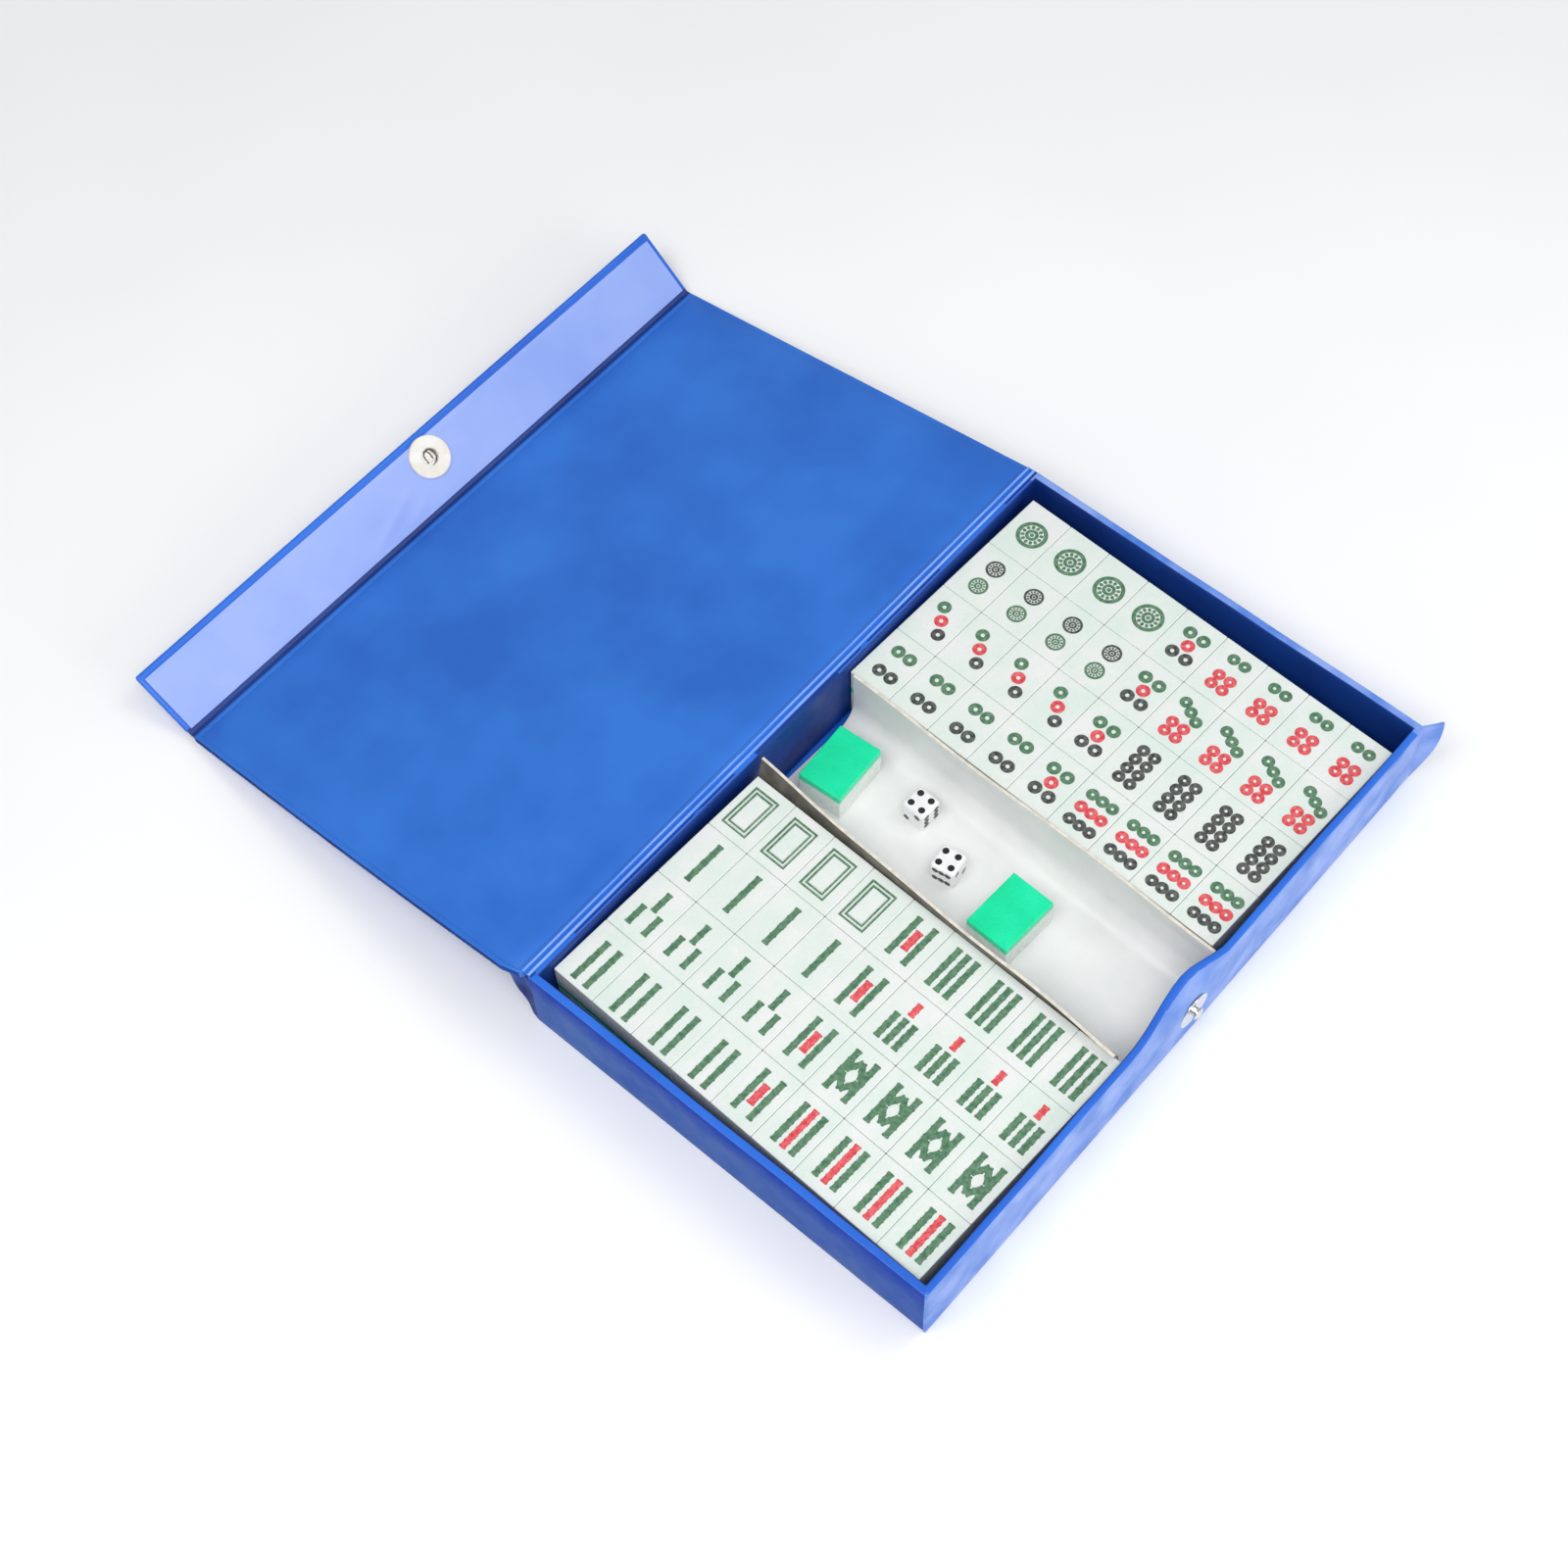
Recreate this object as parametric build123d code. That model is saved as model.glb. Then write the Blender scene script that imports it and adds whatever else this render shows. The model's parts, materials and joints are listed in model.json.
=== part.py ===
# Travel mahjong case: a low tray and a lid of boards sealed in vinyl sheet, joined along the spine, with a
# closing flap and a press stud.  The tray holds two blocks of tiles, two layers deep, on either side of a bent
# plastic trough that carries the dice and the spare tiles.
#
# Frame: the origin is the centre of the tray's underside, +Z is up, +X runs along the spine to the right and
# +Y runs from the front wall to the spine and on over the open lid.  Millimetres and degrees.
from build123d import *
import math
import os

# ---- tiles
TILE_LENGTH = 20.0        # along X, the height of the face
TILE_WIDTH = 14.4         # along Y
TILE_THICKNESS = 10.8
TILE_EDGE = 0.3           # rounding of every edge
TILE_GAP = 0.1            # play between neighbours of one layer
TILE_ROWS = 4             # along X
TILE_COLUMNS = 9          # along Y
BLOCK_TURN = 1.8          # degrees, clockwise from above: the blocks and the trough lie askew in the tray
MARK_DEPTH = 0.3          # engraving of the faces
MARKS_ASIDE = 0.7         # the marks lie this much to the right of the middle of a face

# ---- the marks on the faces
SMALL_RING = 2.1          # outer radius of the ordinary ring
SMALL_RING_HOLE = 0.6
TIGHT_RING = 1.9          # ring of the faces that hold six or more
TIGHT_RING_HOLE = 0.45
MIDDLE_RING = 2.95        # ring of the face that holds two
LARGE_RING = 4.75         # ring of the face that holds one
PETAL_COUNT = 12
ROSETTE_RIM = 0.74        # inside of the rim, as a share of the radius, like the next five
ROSETTE_PETALS = 0.585    # circle of the petals' middles
ROSETTE_PETAL_LENGTH = 0.27
ROSETTE_PETAL_WIDTH = 0.22
ROSETTE_RING = (0.42, 0.20)
ROSETTE_DOT = 0.14
STICK_KNOB = 2.2          # width of a bamboo stick at its knots
STICK_WAIST = 1.85
STICK_KNOT = 0.9          # length of a knot
LONG_STICK = 7.1          # sticks in line run a little into each other
SHORT_STICK = 4.65
SLANTED_STICK = 5.2       # the inner sticks of the eight
SLANT = 32.0
FOUR_DROP = 1.5           # the four's sticks lie this much below the middle of the face
BOLD_STICK = 1.2          # the five's middle stick, as a multiple of the usual width
FRAME_LENGTH = 14.4       # frame of the white dragon
FRAME_WIDTH = 8.8
FRAME_LINE = 0.8
FRAME_SPACE = 0.4
FRAME_ASIDE = -0.7

# ---- boards and vinyl
VINYL = 0.4
WALL_BOARD = 1.6
BASE_BOARD = 1.2
LID_BOARD = 1.8
FLAP_BOARD = 1.2
SEAM = 1.6                # welded margin around the boards of the lid and the flap
CORNER = 0.9              # upright corners of the tray

# ---- room inside the tray
HEADROOM = 3.4            # rim above the faces of the upper layer
LEFT_PLAY = 0.75          # left wall to the nearest corner of the left block
RIGHT_PLAY = 4.2
FRONT_PLAY = 0.3
SPINE_PLAY = 0.3

# ---- trough between the blocks
TROUGH_WIDTH = 42.2
TROUGH_PLAY = 0.2         # to the block on each side
TROUGH_SHEET = 0.9
TROUGH_BEND = 8.0         # outer radius of the two bends
TROUGH_LEFT_RISE = 3.2    # left partition above the faces of the tiles
TROUGH_RIGHT_RISE = 1.0
TROUGH_END_GAP = 1.0      # to the front wall and to the spine

# ---- dice, and where the loose pieces lie: x, y and turn about Z
DIE_SIDE = 8.0
DIE_EDGE = 1.1
PIP_RADIUS = 1.1
PIP_DEPTH = 0.35
PIP_PITCH = 2.0           # from the middle of a face to its rows of pips
DIE_SPOTS = [(7.5, 28.4, -3.0), (-1.9, 10.8, 9.0)]
SPARE_SPOTS = [(1.4, 53.2, 4.0), (-4.8, -13.3, -2.0)]

# ---- hinge of the lid and fold of the flap
LID_GAP = 0.2             # closed lid above the rim
HINGE_BEAD = 0.5          # radius of the welded vinyl strip along the hinge
FOLD_BEAD = 0.8
BEAD_GAP = 0.2            # running gap beside each strip
FLAP_WIDTH = 23.0         # from the fold to the free edge
FLAP_FOLD = 48.0          # flap above the plane of the open lid
FLOOR_GAP = 0.1           # open lid above the table at its far edge

# ---- press stud
SNAP_X = 4.0
SNAP_DROP = 14.6          # centre of the snap below the fold
SOCKET_RADIUS = 6.8
SOCKET_HEIGHT = 1.6
SOCKET_HOLE = 2.65
SOCKET_OUTER_ROUND = 0.7
SOCKET_INNER_ROUND = 0.3
CAP_RADIUS = 6.4
CAP_HEIGHT = 1.2
CAP_ROUND = 0.95
CAP_SHANK = 2.5
CAP_SHANK_SINK = 0.5      # end of the cap's shank below the flap's lining
STUD_FLANGE = 5.8
STUD_FLANGE_HEIGHT = 0.3
STUD_FLANGE_ROUND = 0.18
STUD_HEAD = 1.95
STUD_NECK = 1.4
STUD_CROWN = 1.2          # flat end of the head
STUD_NECK_HEIGHT = 0.65
STUD_HEAD_FOOT = 1.05     # the head is widest from here
STUD_HEAD_SHOULDER = 1.45 # to here
STUD_HEAD_HEIGHT = 1.9
SNAP_PLAY = 0.1           # socket to the stud's flange when closed
POST_RADIUS = 4.2
POST_HEIGHT = 0.5
POST_SHANK = 1.2
HOLE_PLAY = 0.05
SPRING_WIRE = 0.22
SPRING_HALF_WIDTH = 1.75
SPRING_BEND = 0.5         # from the socket's middle to the start of the hairpin's bend
SPRING_TIP = 1.3          # from the socket's middle to the tips
SPRING_SINK = 0.3         # middle of the wire below the socket's face

# ---- sizes that follow
block_x = TILE_ROWS * TILE_LENGTH + (TILE_ROWS - 1) * TILE_GAP
block_y = TILE_COLUMNS * TILE_WIDTH + (TILE_COLUMNS - 1) * TILE_GAP
wall = 2 * VINYL + WALL_BOARD
floor_top = 2 * VINYL + BASE_BOARD
upper_layer = floor_top + TILE_THICKNESS
tile_tops = upper_layer + TILE_THICKNESS
rim = tile_tops + HEADROOM

turn_cos = math.cos(math.radians(BLOCK_TURN))
turn_sin = math.sin(math.radians(BLOCK_TURN))
reach_x = block_x * turn_cos + block_y * turn_sin
reach_y = block_y * turn_cos + block_x * turn_sin
spacing = (block_x / 2 + TROUGH_PLAY + TROUGH_WIDTH / 2) / turn_cos
inner_x = LEFT_PLAY + reach_x + 2 * spacing + RIGHT_PLAY
inner_y = FRONT_PLAY + reach_y + SPINE_PLAY
tray_x = inner_x + 2 * wall
tray_y = inner_y + 2 * wall

# Each block and the trough turns about its own middle.
left_middle = -inner_x / 2 + LEFT_PLAY + reach_x / 2
trough_middle = left_middle + spacing
right_middle = trough_middle + spacing
middle_y = -inner_y / 2 + FRONT_PLAY + reach_y / 2
trough_floor = floor_top + TROUGH_SHEET
trough_length = (inner_y - 2 * TROUGH_END_GAP - TROUGH_WIDTH * turn_sin) / turn_cos

hinge_y = tray_y / 2 + HINGE_BEAD + BEAD_GAP
hinge_z = rim + LID_GAP
lid_start = HINGE_BEAD + BEAD_GAP
lid_thickness = 2 * VINYL + LID_BOARD
flap_thickness = 2 * VINYL + FLAP_BOARD
flap_standoff = SOCKET_HEIGHT + STUD_FLANGE_HEIGHT + SNAP_PLAY
fold_reach = hinge_y + tray_y / 2 + flap_standoff
lid_end = fold_reach - FOLD_BEAD - BEAD_GAP
flap_start = FOLD_BEAD + BEAD_GAP
lid_slope = math.degrees(
    math.asin((hinge_z - FLOOR_GAP) / math.hypot(lid_end, lid_thickness)) - math.atan(lid_thickness / lid_end))
stud_z = hinge_z - SNAP_DROP

# The open lid's own frame: Y runs from the hinge to the fold and Z = 0 is the lining's face.
lid_frame = Pos(0, hinge_y, hinge_z) * Rot(X=-lid_slope)
flap_frame = lid_frame * Pos(0, fold_reach, 0) * Rot(X=FLAP_FOLD)
# The stud's frame: Z points out of the front wall, and Z = 0 is the wall's outer face.
stud_frame = Pos(SNAP_X, -tray_y / 2, stud_z) * Rot(X=90)
socket_frame = flap_frame * Pos(SNAP_X, SNAP_DROP, 0)

os.makedirs("parts", exist_ok=True)


def save(node, *solids):
    """Write one node: a single solid, or a group of separate ones."""
    shape = solids[0] if len(solids) == 1 else Compound(children=list(solids))
    export_step(shape, f"parts/{node}.step")


def slab(x0, x1, y0, y1, z0, z1):
    """Box between two corners."""
    return Pos((x0 + x1) / 2, (y0 + y1) / 2, (z0 + z1) / 2) * Box(x1 - x0, y1 - y0, z1 - z0)


def centred_slab(width, depth, z0, z1):
    return slab(-width / 2, width / 2, -depth / 2, depth / 2, z0, z1)


def disc(radius, z0, z1):
    return Pos(0, 0, (z0 + z1) / 2) * Cylinder(radius, z1 - z0)


def turned(*points):
    """Solid turned about Z from an outline of (radius, height) points."""
    outline = Plane.XZ * make_face(Polyline(*points, close=True))
    return revolve(outline, Axis.Z)


# ---- tray -------------------------------------------------------------------------------------------------
def tray_prism(z0, z1):
    """Outer form of the tray between two heights, with its upright corners rounded."""
    prism = centred_slab(tray_x, tray_y, z0, z1)
    return fillet(prism.edges().filter_by(Axis.Z), CORNER)


def make_tray():
    board_x = tray_x - 2 * VINYL
    board_y = tray_y - 2 * VINYL
    board_foot = VINYL + BASE_BOARD
    board_top = rim - VINYL
    post_hole = stud_frame * disc(POST_SHANK + HOLE_PLAY, -2 * wall, wall)

    save("tray_base_skin", tray_prism(0, VINYL))
    wall_skin = (tray_prism(VINYL, rim) - centred_slab(board_x, board_y, VINYL, board_top)
                 - centred_slab(inner_x, inner_y, VINYL, rim))
    save("tray_wall_skin", wall_skin - post_hole)
    lining = (centred_slab(inner_x + 2 * VINYL, inner_y + 2 * VINYL, board_foot, board_top)
              - centred_slab(inner_x, inner_y, floor_top, board_top))
    save("tray_lining", lining - post_hole)
    save("tray_base_board", centred_slab(board_x, board_y, VINYL, board_foot))

    end_board = slab(0, WALL_BOARD, -board_y / 2, board_y / 2, board_foot, board_top)
    save("left_wall_board", Pos(-board_x / 2, 0, 0) * end_board)
    save("right_wall_board", Pos(board_x / 2 - WALL_BOARD, 0, 0) * end_board)
    long_half = board_x / 2 - WALL_BOARD
    long_board = slab(-long_half, long_half, 0, WALL_BOARD, board_foot, board_top)
    save("front_wall_board", Pos(0, -board_y / 2, 0) * long_board - post_hole)
    save("spine_wall_board", Pos(0, board_y / 2 - WALL_BOARD, 0) * long_board)


# ---- lid and flap -----------------------------------------------------------------------------------------
def vinyl_panel(y0, y1, board_thickness, hole=None):
    """Outer skin with a welded margin, board and lining of one panel, lining up, in the panel's own frame."""
    half = tray_x / 2
    thickness = 2 * VINYL + board_thickness
    pocket = (-half + SEAM, half - SEAM, y0 + SEAM, y1 - SEAM)
    skin = slab(-half, half, y0, y1, -thickness, 0) - slab(*pocket, VINYL - thickness, 0)
    board = slab(*pocket, VINYL - thickness, -VINYL)
    lining = slab(*pocket, -VINYL, 0)
    if hole is None:
        return skin, board, lining
    return skin - hole, board - hole, lining - hole


def hinge_strip(radius):
    """Welded strip of the two vinyl sheets, lying along the axis that it bends about."""
    return Rot(Y=90) * Cylinder(radius, tray_x - 2 * SEAM)


def make_lid():
    skin, board, lining = vinyl_panel(lid_start, lid_end, LID_BOARD)
    save("lid_outer_skin", lid_frame * skin)
    save("lid_board", lid_frame * board)
    save("lid_lining", lid_frame * lining)
    save("lid_hinge_strip", Pos(0, hinge_y, hinge_z) * hinge_strip(HINGE_BEAD))
    save("flap_fold_strip", lid_frame * Pos(0, fold_reach, 0) * hinge_strip(FOLD_BEAD))


def make_flap():
    shank_hole = Pos(SNAP_X, SNAP_DROP, 0) * disc(CAP_SHANK + HOLE_PLAY, -2 * flap_thickness, flap_thickness)
    skin, board, lining = vinyl_panel(flap_start, FLAP_WIDTH, FLAP_BOARD, shank_hole)
    save("flap_outer_skin", flap_frame * skin)
    save("flap_board", flap_frame * board)
    save("flap_lining", flap_frame * lining)


# ---- press stud -------------------------------------------------------------------------------------------
def make_socket():
    ring = disc(SOCKET_RADIUS, 0, SOCKET_HEIGHT) - disc(SOCKET_HOLE, 0, SOCKET_HEIGHT)
    rims = ring.edges().filter_by(GeomType.CIRCLE).group_by(Axis.Z)[-1].sort_by(SortBy.RADIUS)
    ring = fillet(rims[-1], SOCKET_OUTER_ROUND)
    rims = ring.edges().filter_by(GeomType.CIRCLE).group_by(Axis.Z)[-1].sort_by(SortBy.RADIUS)
    ring = fillet(rims[0], SOCKET_INNER_ROUND)
    save("snap_socket", socket_frame * ring)


def make_cap():
    underside = -flap_thickness
    head = disc(CAP_RADIUS, underside - CAP_HEIGHT, underside)
    head = fillet(head.edges().filter_by(GeomType.CIRCLE).group_by(Axis.Z)[0], CAP_ROUND)
    shank = disc(CAP_SHANK, underside, -CAP_SHANK_SINK)
    save("snap_cap", socket_frame * (head + shank))


def make_spring():
    """Hairpin of wire across the socket's hole: it grips the neck of the stud."""
    legs = SPRING_HALF_WIDTH
    path = (Line((legs, -SPRING_TIP), (legs, SPRING_BEND))
            + ThreePointArc((legs, SPRING_BEND), (0, SPRING_BEND + legs), (-legs, SPRING_BEND))
            + Line((-legs, SPRING_BEND), (-legs, -SPRING_TIP)))
    section = Plane(origin=(legs, -SPRING_TIP, 0), z_dir=(0, 1, 0)) * Circle(SPRING_WIRE)
    wire = sweep(section, path=path)
    save("snap_spring", socket_frame * Pos(0, 0, SOCKET_HEIGHT - SPRING_SINK) * wire)


def make_stud():
    base = STUD_FLANGE_HEIGHT
    flange = disc(STUD_FLANGE, 0, base)
    flange = fillet(flange.edges().filter_by(GeomType.CIRCLE).group_by(Axis.Z)[-1], STUD_FLANGE_ROUND)
    head = turned((0, 0), (STUD_NECK, 0), (STUD_NECK, STUD_NECK_HEIGHT), (STUD_HEAD, STUD_HEAD_FOOT),
                  (STUD_HEAD, STUD_HEAD_SHOULDER), (STUD_CROWN, STUD_HEAD_HEIGHT), (0, STUD_HEAD_HEIGHT))
    save("snap_stud", stud_frame * (flange + Pos(0, 0, base) * head))
    shank = disc(POST_SHANK, -wall, 0)
    plate = disc(POST_RADIUS, -wall - POST_HEIGHT, -wall)
    save("snap_post", stud_frame * (shank + plate))


# ---- trough, dice and spare tiles -------------------------------------------------------------------------
def turned_place(middle_x):
    """Frame of a block or of the trough, about its own middle on the tray's floor plane."""
    return Pos(middle_x, middle_y, 0) * Rot(Z=-BLOCK_TURN)


def trough_profile(width, left_top, right_top, bottom, bend):
    """Cross-section of the trough's outer or inner form, in X and Z, about the trough's middle line."""
    half = width / 2
    outline = Polyline((-half, left_top), (-half, bottom), (half, bottom), (half, right_top), close=True)
    face = make_face(outline)
    corners = face.vertices().group_by(Axis.Y)[0]
    return fillet(corners, bend)


def make_trough():
    left_top = tile_tops + TROUGH_LEFT_RISE
    right_top = tile_tops + TROUGH_RIGHT_RISE
    outer = trough_profile(TROUGH_WIDTH, left_top, right_top, floor_top, TROUGH_BEND)
    inner_width = TROUGH_WIDTH - 2 * TROUGH_SHEET
    inner_bend = TROUGH_BEND - TROUGH_SHEET
    inner = trough_profile(inner_width, 2 * left_top, 2 * right_top, trough_floor, inner_bend)
    sheet = extrude(Plane.XZ * (outer - inner), amount=trough_length / 2, both=True)
    save("divider_trough", turned_place(trough_middle) * sheet)


def pip_places(count):
    """Pip centres of a face, in units of the pitch."""
    pair = [(-1, 1), (1, -1)]
    return {2: pair, 4: pair + [(1, 1), (-1, -1)], 6: pair + [(1, 1), (-1, -1), (-1, 0), (1, 0)],
            1: [(0, 0)], 3: pair + [(0, 0)], 5: pair + [(1, 1), (-1, -1), (0, 0)]}[count]


def make_die(node, spot, left_face):
    """Die with four on top; opposite faces add up to seven."""
    body = Box(DIE_SIDE, DIE_SIDE, DIE_SIDE)
    body = fillet(body.edges(), DIE_EDGE)
    front_face = {2: 6, 6: 2}[left_face]
    faces = {4: Rot(), 3: Rot(X=180), left_face: Rot(Y=-90), 7 - left_face: Rot(Y=90),
             front_face: Rot(X=90), 7 - front_face: Rot(X=-90)}
    pip_ball = (PIP_RADIUS ** 2 + PIP_DEPTH ** 2) / (2 * PIP_DEPTH)
    for count, turn in faces.items():
        for u, v in pip_places(count):
            centre = Pos(u * PIP_PITCH, v * PIP_PITCH, DIE_SIDE / 2 - PIP_DEPTH + pip_ball)
            body -= turn * centre * Sphere(pip_ball)
    x, y, angle = spot
    save(node, Pos(x, y, trough_floor + DIE_SIDE / 2) * Rot(Z=angle) * body)


# ---- marks, drawn in the face's own frame: first to the right, then up ------------------------------------
def ring(u, v, outer=SMALL_RING, inner=SMALL_RING_HOLE):
    return Pos(u, v) * (Circle(outer) - Circle(inner))


def tight_ring(u, v):
    return ring(u, v, TIGHT_RING, TIGHT_RING_HOLE)


def rosette(u, v, radius):
    """Large ring: a rim, a circle of petals and a ringed middle."""
    sketch = Circle(radius) - Circle(radius * ROSETTE_RIM)
    petal = SlotOverall(radius * ROSETTE_PETAL_LENGTH, radius * ROSETTE_PETAL_WIDTH)
    for index in range(PETAL_COUNT):
        sketch += Rot(Z=index * 360 / PETAL_COUNT) * Pos(radius * ROSETTE_PETALS, 0) * petal
    sketch += Circle(radius * ROSETTE_RING[0]) - Circle(radius * ROSETTE_RING[1])
    sketch += Circle(radius * ROSETTE_DOT)
    return Pos(u, v) * sketch


def stick(u, v, length=LONG_STICK, lean=0.0, boldness=1.0):
    """Bamboo stick: a stem with a knot at each end and one in the middle."""
    sketch = Rectangle(STICK_WAIST * boldness, length - STICK_KNOT)
    for place in (-1, 0, 1):
        knot = RectangleRounded(STICK_KNOB * boldness, STICK_KNOT, STICK_KNOT * 0.4)
        sketch += Pos(0, place * (length - STICK_KNOT) / 2) * knot
    return Pos(u, v) * Rot(Z=lean) * sketch


def dragon_frame():
    """Double frame of the white dragon."""
    def line(inset):
        outer = Rectangle(FRAME_WIDTH - 2 * inset, FRAME_LENGTH - 2 * inset)
        inner = Rectangle(FRAME_WIDTH - 2 * (inset + FRAME_LINE), FRAME_LENGTH - 2 * (inset + FRAME_LINE))
        return outer - inner
    return line(0) + line(FRAME_LINE + FRAME_SPACE)


def grid(us, vs):
    return [(u, v) for v in vs for u in us]


RING_FACES = {
    1: [rosette(0, 0, LARGE_RING)],
    2: [rosette(0, v, MIDDLE_RING) for v in (3.85, -3.85)],
    3: [ring(u, v) for u, v in ((-2.4, 4.2), (0, 0), (2.4, -4.2))],
    4: [ring(u, v) for u, v in grid((-2.15, 2.15), (4.1, -4.1))],
    5: [ring(u, v) for u, v in grid((-2.4, 2.4), (4.1, -4.1)) + [(0, 0)]],
    6: [tight_ring(u, v) for u, v in grid((-1.95, 1.95), (5.1, -1.6, -5.25))],
    7: [tight_ring(u, v) for u, v in [(-3.1, 5.1), (0, 3.35), (3.1, 1.6)] + grid((-1.95, 1.95), (-2.4, -6.05))],
    8: [tight_ring(u, v) for u, v in grid((-1.95, 1.95), (4.9, 1.25, -2.4, -6.05))],
    9: [tight_ring(u, v) for u, v in grid((-3.5, 0, 3.5), (4.7, -0.3, -5.3))],
}
BAMBOO_FACES = {
    1: [stick(0, 0, 2 * LONG_STICK)],
    2: [stick(0, v) for v in (3.5, -3.5)],
    3: [stick(u, v) for u, v in ((0, 3.5), (-3.0, -3.5), (3.0, -3.5))],
    4: [stick(u, v - FOUR_DROP) for u, v in grid((-2.25, 2.25), (3.5, -3.5))],
    5: [stick(u, v) for u, v in grid((-2.8, 2.8), (3.5, -3.5))] + [stick(0, 0, boldness=BOLD_STICK)],
    6: [stick(u, v) for u, v in grid((-3.15, 0, 3.15), (3.5, -3.5))],
    7: [stick(u, v, SHORT_STICK) for u, v in [(0, 5.3)] + grid((-3.1, 0, 3.1), (-0.4, -4.95))],
    8: [stick(u, v) for u, v in grid((-3.25, 3.25), (3.5, -3.5))]
       + [stick(side * 1.25, v, SLANTED_STICK, side * lean)
          for side in (-1, 1) for v, lean in ((2.7, SLANT), (-2.7, -SLANT))],
    9: [stick(u, v, SHORT_STICK) for u, v in grid((-3.15, 0, 3.15), (4.6, 0, -4.6))],
}


# ---- tiles ------------------------------------------------------------------------------------------------
tile_blank = fillet(Box(TILE_LENGTH, TILE_WIDTH, TILE_THICKNESS).edges(), TILE_EDGE)
face_plane = Plane(origin=(0, 0, TILE_THICKNESS / 2), x_dir=(0, -1, 0), z_dir=(0, 0, 1))


def engraved(marks, aside=MARKS_ASIDE):
    """Tile with its marks cut into the face, about its own centre."""
    tile = tile_blank
    for mark in marks:
        tile -= extrude(face_plane * Pos(aside, 0) * mark, amount=-MARK_DEPTH)
    return tile


def tile_place(block_middle, row, column, layer_foot):
    """Row 0 lies at the block's left side and column 0 at the spine."""
    x = (row - (TILE_ROWS - 1) / 2) * (TILE_LENGTH + TILE_GAP)
    y = ((TILE_COLUMNS - 1) / 2 - column) * (TILE_WIDTH + TILE_GAP)
    return turned_place(block_middle) * Pos(x, y, layer_foot + TILE_THICKNESS / 2)


def save_tiles(node, tile, block_middle, cells, layer_foot):
    save(node, *[tile_place(block_middle, row, column, layer_foot) * tile for row, column in cells])


def face_cells(number):
    """Cells of one face in an upper block whose rows read 1 5 6, 2 5 7, 3 5 8 and 4 5 9 from the right."""
    if number == 5:
        return [(row, 4) for row in range(TILE_ROWS)]
    if number <= 4:
        return [(TILE_ROWS - number, column) for column in range(4)]
    return [(9 - number, column) for column in range(5, TILE_COLUMNS)]


def make_upper_layer():
    for number, marks in RING_FACES.items():
        save_tiles(f"circle_{number}_tiles", engraved(marks), right_middle, face_cells(number), upper_layer)
    for number, marks in BAMBOO_FACES.items():
        if number > 1:
            save_tiles(f"bamboo_{number}_tiles", engraved(marks), left_middle, face_cells(number), upper_layer)
    dragon = engraved([dragon_frame()], FRAME_ASIDE)
    save_tiles("white_dragon_tiles", dragon, left_middle, face_cells(1), upper_layer)


def make_lower_layer():
    """Faces that hold only characters or pictures are left bare."""
    cells = [(row, column) for row in range(TILE_ROWS) for column in range(TILE_COLUMNS)]
    save_tiles("character_tiles", tile_blank, left_middle, cells, floor_top)
    groups = [("bamboo_1_tiles", 4, engraved(BAMBOO_FACES[1])), ("wind_tiles", 16, tile_blank),
              ("dragon_tiles", 8, tile_blank), ("flower_tiles", 8, tile_blank)]
    for node, count, tile in groups:
        save_tiles(node, tile, right_middle, cells[:count], floor_top)
        cells = cells[count:]


def make_loose_pieces():
    make_die("die_1", DIE_SPOTS[0], left_face=2)
    make_die("die_2", DIE_SPOTS[1], left_face=6)
    for index, (x, y, angle) in enumerate(SPARE_SPOTS, start=1):
        place = Pos(x, y, trough_floor + TILE_THICKNESS / 2) * Rot(Z=angle)
        save(f"spare_tile_{index}", place * tile_blank)


make_tray()
make_lid()
make_flap()
make_socket()
make_cap()
make_spring()
make_stud()
make_trough()
make_loose_pieces()
make_upper_layer()
make_lower_layer()

fold_line = lid_frame * Pos(0, fold_reach, 0)
print(f"tray {tray_x:.3f} x {tray_y:.3f} x {rim:.2f}, tile tops {tile_tops:.2f}, "
      f"inside {inner_x:.2f} x {inner_y:.2f}")
print(f"middles: left {left_middle:.3f}, trough {trough_middle:.3f}, "
      f"right {right_middle:.3f}, y {middle_y:.3f}")
print(f"lid hinge at y {hinge_y:.3f}, z {hinge_z:.3f}; closes through {180 + lid_slope:.3f} degrees")
print(f"flap fold at y {fold_line.position.Y:.3f}, z {fold_line.position.Z:.3f}; "
      f"closes through {90 - FLAP_FOLD:.3f} degrees; lid slope {lid_slope:.3f}")
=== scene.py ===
# %% [markdown]
# # A travel mahjong case, dressed in Blender
#
# The case is a low tray of boards sealed in blue vinyl, with a lid that lies open behind it.  The CAD model
# gives every solid its place, and this file gives each one its surface.  The model is loaded first as a
# fixed frame, and all that follows is measured from it.

# %% Load the frame
import json
import math

import bmesh
import bpy
from mathutils import Matrix, Vector, noise


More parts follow.
